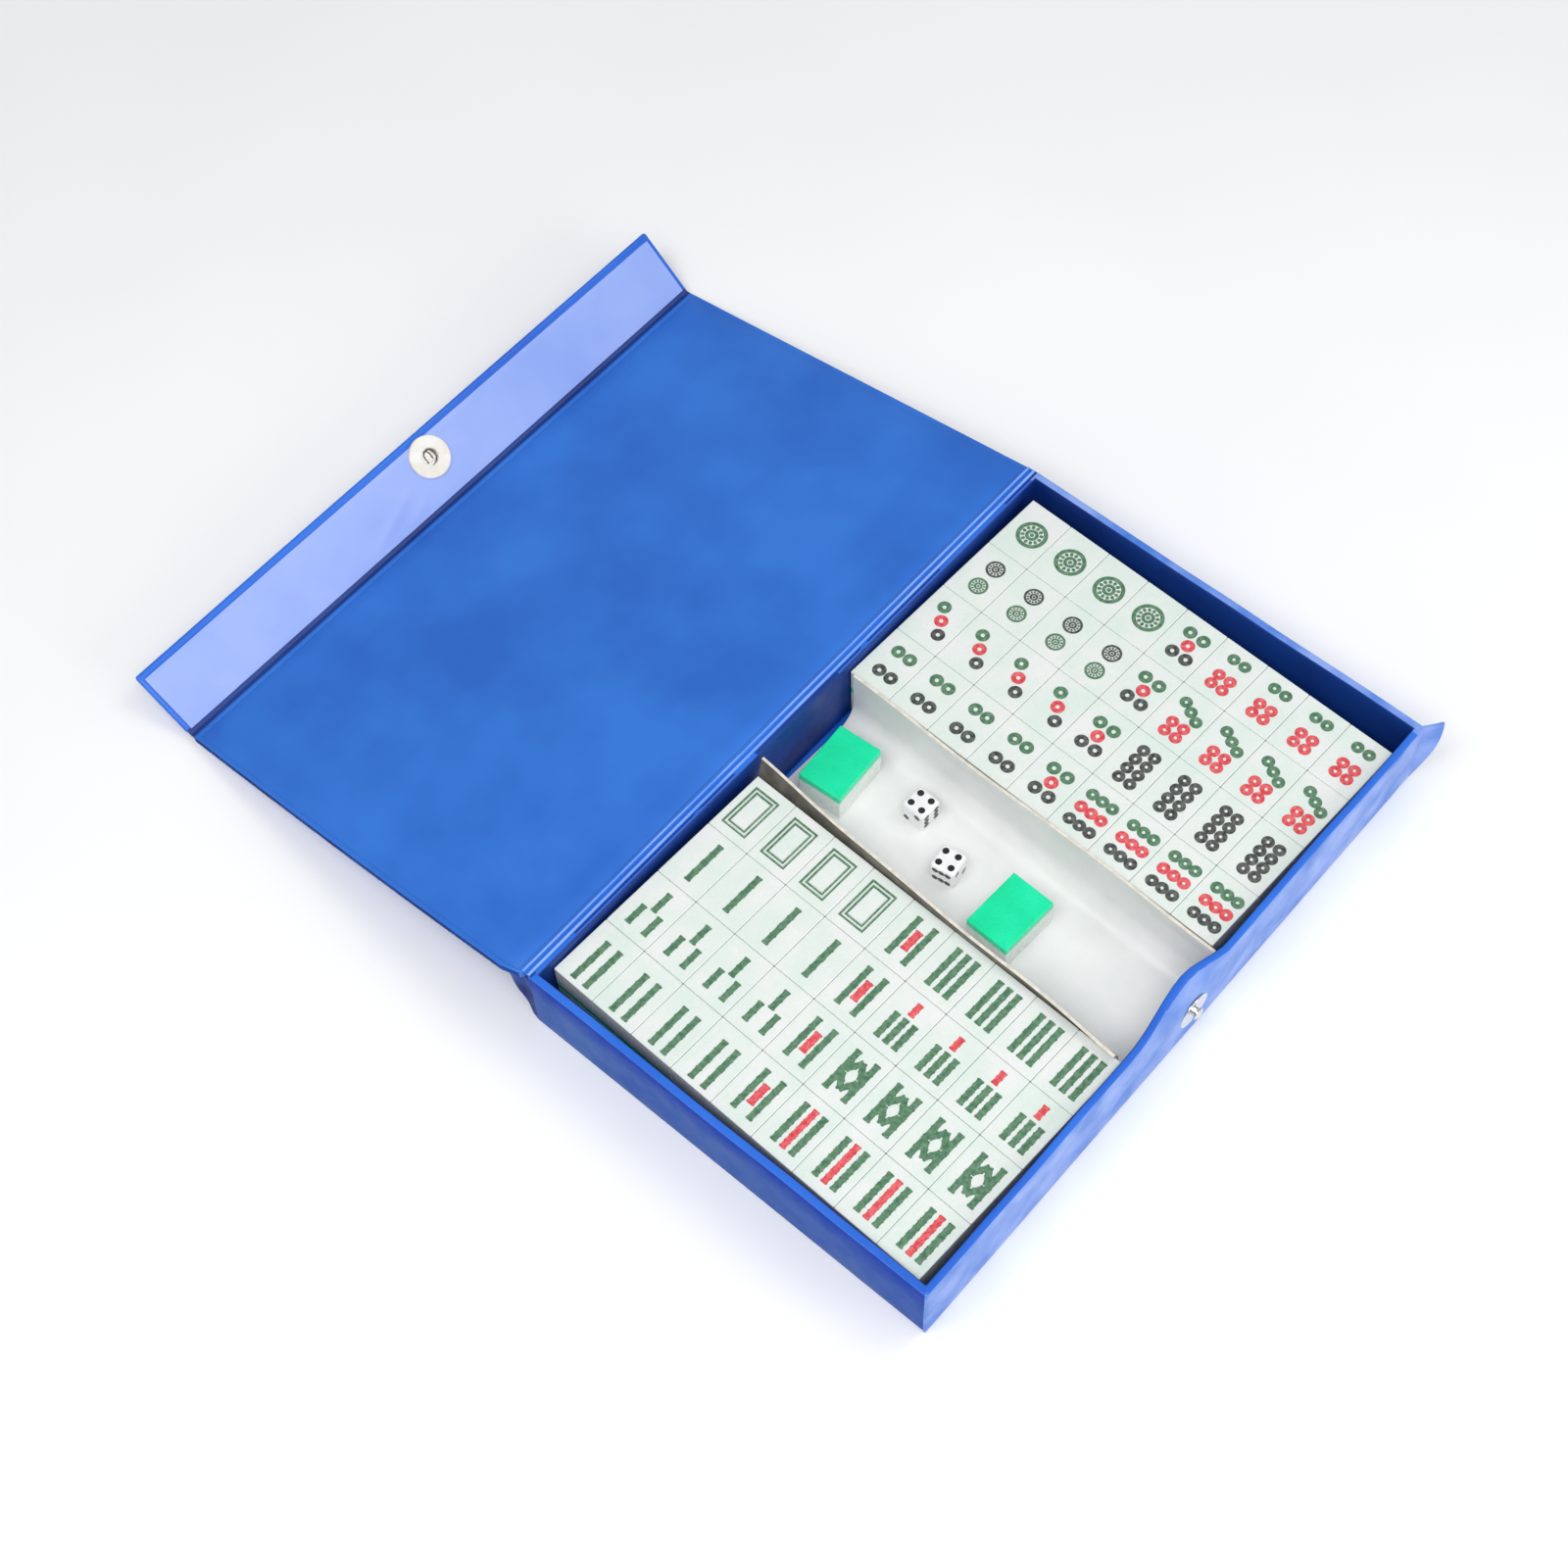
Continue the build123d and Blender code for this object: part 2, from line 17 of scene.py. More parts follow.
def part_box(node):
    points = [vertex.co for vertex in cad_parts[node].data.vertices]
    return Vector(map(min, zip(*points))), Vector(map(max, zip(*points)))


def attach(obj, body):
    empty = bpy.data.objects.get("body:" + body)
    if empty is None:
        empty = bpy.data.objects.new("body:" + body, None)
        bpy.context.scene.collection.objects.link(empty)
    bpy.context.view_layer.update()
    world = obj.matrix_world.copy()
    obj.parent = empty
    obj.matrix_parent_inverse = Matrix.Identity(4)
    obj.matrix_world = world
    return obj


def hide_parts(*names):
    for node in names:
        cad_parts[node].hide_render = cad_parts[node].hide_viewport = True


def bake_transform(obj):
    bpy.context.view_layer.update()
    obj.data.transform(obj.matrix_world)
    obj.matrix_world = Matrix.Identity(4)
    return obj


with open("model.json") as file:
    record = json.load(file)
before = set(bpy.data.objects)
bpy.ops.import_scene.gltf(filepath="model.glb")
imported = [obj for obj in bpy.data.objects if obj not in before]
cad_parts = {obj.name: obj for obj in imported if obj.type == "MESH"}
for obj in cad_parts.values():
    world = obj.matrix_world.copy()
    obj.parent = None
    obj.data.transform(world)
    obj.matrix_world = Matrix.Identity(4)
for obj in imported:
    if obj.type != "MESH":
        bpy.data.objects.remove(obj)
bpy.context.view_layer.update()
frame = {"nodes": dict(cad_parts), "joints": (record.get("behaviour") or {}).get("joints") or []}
scene = bpy.context.scene

# %% [markdown]
# Lengths are written in millimetres and multiplied by `MM`, because Blender works in metres.  The boxes of
# a few CAD nodes give the walls, the rim and the floor.  The two hinges of the record give the frames of
# the open lid and of its flap, in which Y runs away from the hinge and Z = 0 is the inner face.

# %% Sizes and frames
MM = 0.001
VINYL = 0.4 * MM
tray_low, tray_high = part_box("tray_wall_skin")
lining_low, lining_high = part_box("tray_lining")
half_x, front_y, spine_y, rim_z = tray_high.x, tray_low.y, tray_high.y, tray_high.z
inner_x, inner_y = lining_high.x - VINYL, lining_high.y - VINYL
wall = half_x - inner_x
floor_z = lining_low.z + VINYL

joints = {joint["name"]: joint for joint in frame["joints"]}
hinge = Vector(joints["lid_hinge"]["pos_m"])
fold = Vector(joints["flap_fold"]["pos_m"])
lid_slope = math.radians(-joints["lid_hinge"]["range_deg"][0] - 180)
flap_turn = math.radians(90 + joints["flap_fold"]["range_deg"][0])
lid_frame = Matrix.Translation(hinge) @ Matrix.Rotation(-lid_slope, 4, "X")
flap_frame = Matrix.Translation(fold) @ Matrix.Rotation(flap_turn - lid_slope, 4, "X")
fold_reach = (fold - hinge).length
print(f"tray {2 * half_x / MM:.1f} x {2 * spine_y / MM:.1f} mm, walls {wall / MM:.1f} mm thick")
print(f"rim {rim_z / MM:.1f} mm above the table")

# %% [markdown]
# A few helpers keep the modelling cells short.  A piece is drawn in a bmesh, then `make_piece` turns it
# into an object, shades it smooth except at hard corners, gives it a material and makes it ride on its CAD
# body.

# %% Helpers for making pieces
HARD_ANGLE = math.radians(38)
UP = (0, 0, 1)


def make_piece(name, bm, finish, body=None):
    mesh = bpy.data.meshes.new(name)
    bm.to_mesh(mesh)
    bm.free()
    mesh.shade_smooth()
    mesh.set_sharp_from_angle(angle=HARD_ANGLE)
    for material in (finish if isinstance(finish, list) else [finish]):
        mesh.materials.append(material)
    piece = bpy.data.objects.new(name, mesh)
    scene.collection.objects.link(piece)
    if body:
        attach(piece, body)
    print(f"{name}: {len(mesh.polygons)} faces")
    return piece


def slab(bm, low, high):
    """A box between two corners; returns its vertices."""
    verts = bmesh.ops.create_cube(bm, size=1.0)["verts"]
    low, high = Vector(low), Vector(high)
    bmesh.ops.scale(bm, vec=high - low, verts=verts)
    bmesh.ops.translate(bm, vec=(low + high) / 2, verts=verts)
    return verts


def round_edges(bm, edges, radius, segments):
    bmesh.ops.bevel(bm, geom=edges, offset=radius, offset_type="OFFSET", segments=segments, profile=0.5,
                    affect="EDGES", material=-1, clamp_overlap=True)


def slice_with(bm, place, normal, snap=1e-7):
    bmesh.ops.bisect_plane(bm, geom=bm.verts[:] + bm.edges[:] + bm.faces[:], dist=snap, plane_co=place,
                           plane_no=normal)


def cut_across(bm, axis, start, end, step):
    """Slices the whole mesh with planes across one axis, so that it can bend there."""
    count = max(1, round((end - start) / step))
    normal = Vector([1.0 if index == axis else 0.0 for index in range(3)])
    for index in range(1, count):
        slice_with(bm, normal * (start + (end - start) * index / count), normal)


def weld_line(bm, face, margin, width, depth):
    """A pressed line round a flat face: three insets, of which the middle one lies deeper."""
    for thickness, drop in ((margin, 0.0), (width / 2, -depth), (width / 2, depth)):
        bmesh.ops.inset_region(bm, faces=[face], thickness=thickness, depth=drop, use_even_offset=True)


def face_out(bm):
    """Makes every face look outward."""
    bmesh.ops.recalc_face_normals(bm, faces=bm.faces)
    bm.normal_update()


def face_towards(bm, direction):
    """The largest face that looks in a direction."""
    direction = Vector(direction)
    bm.normal_update()
    looking = [face for face in bm.faces if face.normal.dot(direction) > 0.99]
    return max(looking, key=lambda face: face.calc_area())


def clamp(value):
    return min(1.0, max(0.0, value))


def smooth_step(value):
    """Rises from 0 to 1 without a corner at either end."""
    value = clamp(value)
    return value * value * (3 - 2 * value)


def bump(distance, half_width):
    """1 at no distance, falling smoothly to 0 at the half width."""
    if abs(distance) >= half_width:
        return 0.0
    return math.cos(distance / half_width * math.pi / 2) ** 2


def ripple(point, wavelength, seed=0.0):
    """Smooth noise between about -1 and 1."""
    return noise.noise(Vector(point) / wavelength + Vector((seed, seed * 1.7, seed * 2.3)))


# %% [markdown]
# ## Materials
#
# Nothing here is one flat colour.  A `Finish` wires the usual parts of a material: Object coordinates feed
# a noise that drifts the colour between two tones, another that varies the roughness, and a fine one that
# drives a bump.  Object coordinates are in metres, so a scale of 1000 gives details about a millimetre
# across.

# %% A helper for procedural finishes
class Finish:
    """A new material, with short ways to add the nodes that most finishes share."""

    def __init__(self, name):
        self.material = bpy.data.materials.new(name)
        self.material.use_nodes = True
        self.nodes = self.material.node_tree.nodes
        self.links = self.material.node_tree.links
        self.shader = self.nodes["Principled BSDF"]
        self.place = self.nodes.new("ShaderNodeTexCoord").outputs["Object"]

    def plug(self, value, socket):
        """Gives a socket another node's output, or else a plain value."""
        if isinstance(value, bpy.types.NodeSocket):
            self.links.new(value, socket)
        else:
            socket.default_value = value

    def fill(self, node, **values):
        """Fills a node's inputs by name, with an underscore for each space in a name."""
        for name, value in values.items():
            self.plug(value, node.inputs[name.replace("_", " ")])
        return node

    def feed(self, **values):
        self.fill(self.shader, **values)

    def node(self, kind, **values):
        return self.fill(self.nodes.new("ShaderNode" + kind), **values)

    def height(self):
        """The height above the table."""
        return self.node("SeparateXYZ", Vector=self.place).outputs["Z"]

    def drift(self, scale, detail=3.0):
        """Smooth noise around a half, finer with a larger scale."""
        return self.node("TexNoise", Vector=self.place, Scale=scale, Detail=detail).outputs["Fac"]

    def remap(self, value, low, high, from_low=0.35, from_high=0.65):
        """Stretches one range of values over another, and clamps what lies outside."""
        ends = {"From_Min": from_low, "From_Max": from_high, "To_Min": low, "To_Max": high}
        return self.node("MapRange", Value=value, **ends).outputs["Result"]

    def clouds(self, scale, detail=3.0):
        """Drift stretched over the full range from 0 to 1."""
        return self.remap(self.drift(scale, detail), 0.0, 1.0)

    def calculate(self, operation, *values):
        node = self.node("Math")
        node.operation = operation
        for value, socket in zip(values, node.inputs):
            self.plug(value, socket)
        return node.outputs[0]

    def mix(self, factor, first, second):
        """Mixes two colours; each may be a plain colour or another node's output."""
        node = self.node("Mix")
        node.data_type = "RGBA"
        self.fill(node, Factor=factor)
        sockets = [socket for socket in node.inputs if socket.type == "RGBA"]
        for colour, socket in zip((first, second), sockets):
            self.plug((*colour, 1.0) if isinstance(colour, tuple) else colour, socket)
        return [socket for socket in node.outputs if socket.type == "RGBA"][0]

    def press_in(self, height, strength, depth):
        """Drives a bump whose full depth is in metres."""
        node = self.node("Bump", Height=height, Strength=strength, Distance=depth)
        self.feed(Normal=node.outputs["Normal"])


# %% [markdown]
# Vinyl sheet is pressed with a fine grain, like thin leather, and has a soft gloss.  The grain is a Voronoi
# pattern in half-millimetre cells, a slower noise lets the sheet swell a little, and the colour drifts by a
# few percent.  Several of the blues are painted light: a paler painted reflection on the front wall, the fins
# and the flap's lining, and a painted highlight on the ridges of the hinge.  Painted shade darkens the left
# wall, more towards its rim, and the inside of the tray, the gussets, the lid's left edge and the fold.

# %% Vinyl
GRAIN_SCALE, GRAIN_SHARE = 1900.0, 0.35
SWELL_SCALE, GLOSS_SCALE = 420.0, 160.0
GRAIN_STRENGTH, GRAIN_DEPTH = 0.22, 0.12 * MM
VINYL_IOR = 1.48


def vinyl(name, deep, pale, gloss=0.34, patch=28.0, shine=0.5, lift=None):
    """`patch` is how often the colour drifts between its two tones, per metre.

    `lift` gives the heights of full pale and of full deep tone, for a wall that darkens towards its rim.
    """
    finish = Finish(name)
    tone = finish.clouds(patch)
    if lift:
        lower_down = finish.remap(finish.height(), 1.0, 0.0, *lift)
        tone = finish.calculate("MULTIPLY", lower_down, finish.remap(tone, 0.6, 1.0, 0.0, 1.0))
    roughness = finish.remap(finish.drift(GLOSS_SCALE), gloss - 0.05, gloss + 0.07)
    finish.feed(Base_Color=finish.mix(tone, deep, pale), Specular_IOR_Level=shine, Roughness=roughness,
                IOR=VINYL_IOR)
    grain = finish.node("TexVoronoi", Vector=finish.place, Scale=GRAIN_SCALE).outputs["Distance"]
    relief = finish.calculate("MULTIPLY_ADD", grain, GRAIN_SHARE, finish.drift(SWELL_SCALE, 2.0))
    finish.press_in(relief, GRAIN_STRENGTH, GRAIN_DEPTH)
    return finish.material


vinyl_blue = vinyl("vinyl_blue", (0.012, 0.115, 0.60), (0.018, 0.155, 0.70))
# painted shade: the left wall's outer face, turned away from the lamps, darker towards its rim
vinyl_left_shade = vinyl("vinyl_blue_painted_side_shade", (0.0, 0.045, 0.40), (0.05, 0.13, 0.42), 0.42, shine=0.04,
                   lift=(0.016, 0.024))
# painted shade: the inside of the tray, the inner part of its rim and the hinge where it dips into the tray
vinyl_inner_shade = vinyl("vinyl_blue_painted_shade", (0.004, 0.03, 0.20), (0.006, 0.045, 0.27), gloss=0.45, shine=0.3)
# painted reflection: a paler blue for the front wall, the outer part of the front and right rims and the
# corner fins
vinyl_reflection = vinyl("vinyl_blue_painted_reflection", (0.05, 0.19, 0.66), (0.25, 0.38, 0.82), gloss=0.38, patch=70.0)
# painted shade: the gussets behind the spine and the lid's left edge
vinyl_web_shade = vinyl("vinyl_blue_web_painted_shade", (0.004, 0.020, 0.15), (0.010, 0.055, 0.30), 0.42, shine=0.06, patch=90.0)
# painted highlight: the pale tops of the hinge's two ridges
vinyl_ridge_highlight = vinyl("vinyl_blue_painted_ridge_highlight", (0.10, 0.30, 0.88), (0.24, 0.42, 0.92), gloss=0.30, patch=60.0)
vinyl_lid = vinyl("vinyl_lid_lining", (0.015, 0.130, 0.56), (0.026, 0.178, 0.67), gloss=0.42)
# painted reflection: the flap's lining, tilted towards the lamps, is coloured paler than the lid's
vinyl_flap_reflection = vinyl("vinyl_flap_lining", (0.26, 0.38, 0.82), (0.33, 0.44, 0.86), gloss=0.36)
# painted shade: the dark line of the fold's crease
vinyl_crease_shade = vinyl("vinyl_fold_painted_shade", (0.006, 0.03, 0.19), (0.010, 0.05, 0.26), gloss=0.4)
print("vinyl:", [name for name in bpy.data.materials.keys() if name.startswith("vinyl")])

# %% [markdown]
# The tiles are moulded in two layers: a thick white one with a hint of mint, and a bright green back.  The
# layers meet at a sharp line, so the height in Object coordinates decides the colour.  `back_low` and
# `back_high` bound the green layer.

# %% Tile plastic in two layers
TILE_WHITE = ((0.70, 0.79, 0.73), (0.79, 0.81, 0.79))
TILE_GREEN = ((0.0, 0.70, 0.33), (0.004, 0.80, 0.40))


def tile_plastic(name, back_low, back_high):
    finish = Finish(name)
    middle, half = (back_low + back_high) / 2, (back_high - back_low) / 2
    in_back = finish.calculate("COMPARE", finish.height(), middle, half)
    cloud = finish.clouds(95.0)
    white = finish.mix(cloud, *TILE_WHITE)
    green = finish.mix(cloud, *TILE_GREEN)
    finish.feed(Base_Color=finish.mix(in_back, white, green), IOR=1.49,
                Roughness=finish.remap(finish.drift(300.0), 0.22, 0.34),
                Subsurface_Weight=0.12, Subsurface_Radius=(0.9, 1.0, 0.9), Subsurface_Scale=1.2 * MM)
    finish.press_in(finish.drift(1500.0, 2.0), 0.05, 0.06 * MM)
    return finish.material


# %% [markdown]
# The marks are cut into the faces and filled with paint that has dried a little unevenly, so each paint
# drifts between a full and a thin tone.  Nickel gets fine scratches in its roughness, the spring is dull
# wire, and the trough is smooth white sheet with cream edges, whose outer backs carry a grey-brown painted
# shade.

# %% Paint, metal, sheet and board
def plain_finish(name, deep, pale, roughness, scale=900.0, metallic=0.0, grain=0.08):
    finish = Finish(name)
    uneven = finish.drift(scale * 2.3)
    finish.feed(Base_Color=finish.mix(finish.clouds(scale, 4.0), deep, pale), Metallic=metallic,
                Roughness=finish.remap(uneven, roughness * 0.8, roughness * 1.3))
    finish.press_in(uneven, grain, 0.05 * MM)
    return finish.material


PAINT_TONES = {"green": ((0.045, 0.150, 0.075), (0.14, 0.27, 0.16)),
               "red": ((0.62, 0.035, 0.05), (0.80, 0.15, 0.16)),
               "black": ((0.025, 0.028, 0.027), (0.13, 0.14, 0.13))}
paints = {colour: plain_finish(f"paint_{colour}", *tones, 0.45) for colour, tones in PAINT_TONES.items()}
pip_black = plain_finish("pip_black", (0.006, 0.006, 0.007), (0.02, 0.02, 0.022), 0.3)
nickel = plain_finish("nickel", (0.62, 0.61, 0.58), (0.82, 0.81, 0.79), 0.16, 1400.0, 1.0, 0.12)
brass_wire = plain_finish("spring_wire", (0.10, 0.07, 0.035), (0.26, 0.19, 0.09), 0.38, 2200.0, 1.0)
ivory = plain_finish("ivory_enamel", (0.80, 0.76, 0.66), (0.90, 0.88, 0.82), 0.24, 260.0, 0.0, 0.05)
trough_white = plain_finish("trough_sheet", (0.78, 0.79, 0.78), (0.86, 0.86, 0.85), 0.36, 55.0, 0.0, 0.06)
# painted shade: the outer backs of the trough's sides
trough_back_shade = plain_finish("trough_sheet_painted_shade", (0.13, 0.125, 0.105), (0.22, 0.21, 0.18), 0.6, 220.0)
trough_edge = plain_finish("trough_cut_edge", (0.62, 0.57, 0.48), (0.80, 0.75, 0.66), 0.6, 420.0)
dice_white = plain_finish("dice_plastic", (0.82, 0.82, 0.83), (0.88, 0.88, 0.88), 0.2, 200.0, 0.0, 0.03)
greyboard = plain_finish("greyboard", (0.30, 0.28, 0.24), (0.44, 0.41, 0.36), 0.85, 1300.0, 0.0, 0.4)
print("materials so far:", len(bpy.data.materials))

# %% [markdown]
# ## Stage
#
# The case stands on a plain pale floor.  The world is white for the camera, so the background is clean,
# while its light on the case stays modest and leaves the shaping to four soft lamps: the strongest beside
# the camera, which reaches down into the tray, one above the front right, a low one for the front wall, and
# a steep one on the left that reaches into the gap beside the tiles.

# %% Floor, world and lamps
FLOOR_SIZE, FLOOR_DROP = 3.0, 0.2 * MM
WORLD_LIGHT = 0.45
CASE_MIDDLE = Vector((0.0, 0.06, 0.01))

bm = bmesh.new()
bmesh.ops.create_grid(bm, x_segments=1, y_segments=1, size=FLOOR_SIZE)
paper = Finish("floor_paper")
paper.feed(Base_Color=paper.mix(paper.clouds(6.0), (0.93, 0.93, 0.93), (0.96, 0.96, 0.96)), Roughness=0.7)
floor = make_piece("floor", bm, paper.material)
floor.location.z = -FLOOR_DROP

world = bpy.data.worlds.new("white_room")
world.use_nodes = True
scene.world = world
nodes, links = world.node_tree.nodes, world.node_tree.links
seen = nodes["Background"]
seen.inputs["Color"].default_value = (1.0, 1.0, 1.0, 1.0)
seen.inputs["Strength"].default_value = 1.0
lighting = nodes.new("ShaderNodeBackground")
lighting.inputs["Color"].default_value = (0.96, 0.98, 1.0, 1.0)
lighting.inputs["Strength"].default_value = WORLD_LIGHT
ray = nodes.new("ShaderNodeLightPath")
bright = nodes.new("ShaderNodeMath")
bright.operation = "MAXIMUM"
links.new(ray.outputs["Is Camera Ray"], bright.inputs[0])
links.new(ray.outputs["Is Transmission Ray"], bright.inputs[1])
choose = nodes.new("ShaderNodeMixShader")
links.new(bright.outputs[0], choose.inputs[0])
links.new(lighting.outputs[0], choose.inputs[1])
links.new(seen.outputs[0], choose.inputs[2])
links.new(choose.outputs[0], nodes["World Output"].inputs["Surface"])

scene.view_settings.view_transform = "Standard"
scene.view_settings.look = "None"


def soft_lamp(name, place, size, power):
    data = bpy.data.lights.new(name, "AREA")
    data.shape = "RECTANGLE"
    data.size, data.size_y = size
    data.energy = power
    lamp = bpy.data.objects.new(name, data)
    lamp.location = place
    lamp.rotation_euler = (CASE_MIDDLE - Vector(place)).to_track_quat("-Z", "Y").to_euler()
    scene.collection.objects.link(lamp)


soft_lamp("key_light", (0.44, -0.30, 1.06), (0.55, 0.55), 2.2)
soft_lamp("camera_light", (-0.46, -0.36, 1.05), (0.6, 0.6), 5.0)
soft_lamp("front_light", (0.10, -1.05, 0.48), (0.7, 0.4), 3.0)
soft_lamp("left_light", (-0.54, 0.14, 1.00), (0.4, 0.4), 2.8)

# %% [markdown]
# The camera looks down at about sixty degrees from the front left.  It is placed by its position, the point
# it aims at and a slight roll, which is easier to read and to change than three rotation angles.

# %% Camera
CAMERA_PLACE = Vector((-297.52, -211.37, 688.17)) * MM
CAMERA_AIM = Vector((-14.77, 60.09, 15.0)) * MM
CAMERA_ROLL = math.radians(-3.2695)
LENS = 63.565

camera_data = bpy.data.cameras.new("camera")
camera_data.lens = LENS
camera_data.sensor_width = 36.0
camera_data.clip_start = 0.01
camera = bpy.data.objects.new("camera", camera_data)
looking = (CAMERA_AIM - CAMERA_PLACE).to_track_quat("-Z", "Y").to_matrix().to_4x4()
camera.matrix_world = Matrix.Translation(CAMERA_PLACE) @ looking @ Matrix.Rotation(CAMERA_ROLL, 4, "Z")
scene.collection.objects.link(camera)
scene.camera = camera
print(f"camera {CAMERA_PLACE.length:.2f} m away, lens {LENS} mm")

# %% [markdown]
# ## The tray's cover
#
# One skin of vinyl covers the tray inside and out, so it is one piece: a box whose top is inset by the
# thickness of a wall and pushed down to the floor, with its upright edges rounded after that.  Rounding the
# rim gives the rolled edge that catches the light.  Then the walls are cut into short bays, and every
# vertex may move: the front rim bows inward where no tiles hold it, and the sheet waves a little over the
# boards.  Last, each face takes its blue from where it lies and the way it looks: painted shade inside the
# tray, on the inner part of the rim and on the left wall, a paler painted reflection on the front wall and a
# painted highlight on the outer part of the front and right rims.

# %% Tray cover
CORNER, INNER_CORNER = 0.9 * MM, 0.4 * MM
RIM_ROUND, FOOT_ROUND = 0.85 * MM, 0.72 * MM
BAY_X, BAY_Y, BAY_Z = 3.5 * MM, 5.0 * MM, 3.4 * MM
BOW = 3.2 * MM
BOW_LEFT, BOW_PEAK, BOW_RIGHT = -24.0 * MM, 4.0 * MM, 19.0 * MM
BOW_FOOT, BOW_POWER = 12.6 * MM, 2.6
SLACK_WAVE, SLACK_FADE = 26 * MM, 8 * MM
FRONT_SLACK, SIDE_SLACK = 0.35 * MM, 0.3 * MM
WALL_PLAY, EDGE_PLAY = 0.3 * MM, 0.1 * MM
SIDE_TOP = 1.2 * MM
RIM_OUTSIDE, RIM_INSIDE = 0.62, 0.35
PAINTED_SHEEN, SIDE_SHADE, INNER_SHADE = 1, 2, 3


def front_bow(point):
    """How far the front wall leans inward at a point: most at the rim, nothing at the stud."""
    if point.x < BOW_PEAK:
        along = smooth_step((point.x - BOW_LEFT) / (BOW_PEAK - BOW_LEFT))
    else:
        along = smooth_step((BOW_RIGHT - point.x) / (BOW_RIGHT - BOW_PEAK))
    return BOW * along * clamp((point.z - BOW_FOOT) / (rim_z - BOW_FOOT)) ** BOW_POWER


def slack(point, amount):
    """Slow unevenness of sheet stretched over board, fading at the foot."""
    return amount * ripple(point, SLACK_WAVE, 3.1) * min(1.0, point.z / SLACK_FADE)


def wall_uprights(bm, inside):
    """The upright edges of the walls: those of the inner faces, or else those of the outer ones."""
    tall = [edge for edge in bm.edges if abs(edge.verts[0].co.z - edge.verts[1].co.z) > floor_z]
    return [edge for edge in tall if (abs(edge.verts[0].co.x) < inner_x + EDGE_PLAY) == inside]


def level_edges(bm, height):
    """The sharp edges that lie at one height."""
    level = [edge for edge in bm.edges if all(abs(vert.co.z - height) < 1e-6 for vert in edge.verts)]
    return [edge for edge in level if edge.calc_face_angle(0) > 1.0]


def cover_tone(face):
    """Which of the cover's blues a face takes; 0 is the plain one, the others are painted shade and painted
    reflection.
    """
    middle, normal = face.calc_center_median(), face.normal
    looks_in = abs(normal.z) < 0.7 and middle.x * normal.x + middle.y * normal.y < 0
    on_rim = normal.z > 0.1 and middle.z > rim_z - MM
    from_inside = max(abs(middle.x) - inner_x, abs(middle.y - front_bow(middle)) - inner_y) / wall
    # painted shade on the inner walls and on the inner part of the rim
    if on_rim and from_inside < RIM_INSIDE or looks_in and middle.z < rim_z:
        return INNER_SHADE
    # painted highlight on the outer part of the front rim and on the right rim
    if on_rim and (middle.y < -inner_y and from_inside > RIM_OUTSIDE or middle.x > inner_x):
        return PAINTED_SHEEN
    # painted shade on the left wall's outer face, below the rim
    if middle.x < 0 and normal.x < -0.7 and middle.z < rim_z - SIDE_TOP:
        return SIDE_SHADE
    # painted reflection on the front wall's outer face
    return PAINTED_SHEEN if middle.y < 0 and normal.y < -0.7 else 0


bm = bmesh.new()
slab(bm, (-half_x, front_y, 0), (half_x, spine_y, rim_z))
bmesh.ops.inset_region(bm, faces=[face_towards(bm, UP)], thickness=wall, use_even_offset=True)
pushed = bmesh.ops.extrude_discrete_faces(bm, faces=[face_towards(bm, UP)])["faces"]
bmesh.ops.translate(bm, vec=(0, 0, floor_z - rim_z), verts=pushed[0].verts[:])
round_edges(bm, wall_uprights(bm, inside=False), CORNER, 4)
round_edges(bm, wall_uprights(bm, inside=True), INNER_CORNER, 3)
rim_edges, foot_edges = level_edges(bm, rim_z), level_edges(bm, 0.0)
round_edges(bm, rim_edges, RIM_ROUND, 4)
round_edges(bm, foot_edges, FOOT_ROUND, 3)
cut_across(bm, 0, -half_x, half_x, BAY_X)
cut_across(bm, 1, front_y, spine_y, BAY_Y)
cut_across(bm, 2, 0.0, rim_z, BAY_Z)
for vert in bm.verts:
    point = vert.co.copy()
    if point.y < front_y + wall + WALL_PLAY:
        vert.co.y += front_bow(point) + slack(point, FRONT_SLACK)
    if abs(point.x) > half_x - wall - WALL_PLAY:
        vert.co.x += slack(point, SIDE_SLACK)
face_out(bm)
for face in bm.faces:
    face.material_index = cover_tone(face)
print(f"volume of the cover {bm.calc_volume(signed=True) / MM ** 3:.0f} mm3")
tray_tones = [vinyl_blue, vinyl_reflection, vinyl_left_shade, vinyl_inner_shade]
tray_cover = make_piece("tray_cover", bm, tray_tones, "tray")
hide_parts("tray_wall_skin", "tray_base_skin", "tray_lining")

# %% [markdown]
# At each front corner the spare vinyl is welded into a fin.  The right one was trimmed badly and stands out
# by 6 mm, and the left one is only a bead.  Behind the spine two webs of the same sheet, the gussets, leave
# the tray's corners, and are cut short where they would stand out behind the closed case.

# %% Corner fins and gussets
FIN_THICK = 0.8 * MM
FIN_DIRECTION = (0.822, -0.570)
FIN_FULL_HEIGHT, FIN_POWER = 24 * MM, 1.3
FIN_CURL_WAVE, FIN_DROOP = 7 * MM, 1.2 * MM
GUSSET_REACH = 9 * MM
GUSSET_INSET, GUSSET_FOOT = 0.5 * MM, 0.5 * MM
WEB_DROP, WEB_TOP_START = 2.9 * MM, 0.7 * MM
RISE_START, RISE_RUN = 2.2 * MM, 5.5 * MM
STEEP_RISE, LAST_RISE = 16 * MM, 4.5 * MM
WEB_FOLD, WEB_WAVE = 0.35 * MM, 1.2 * MM


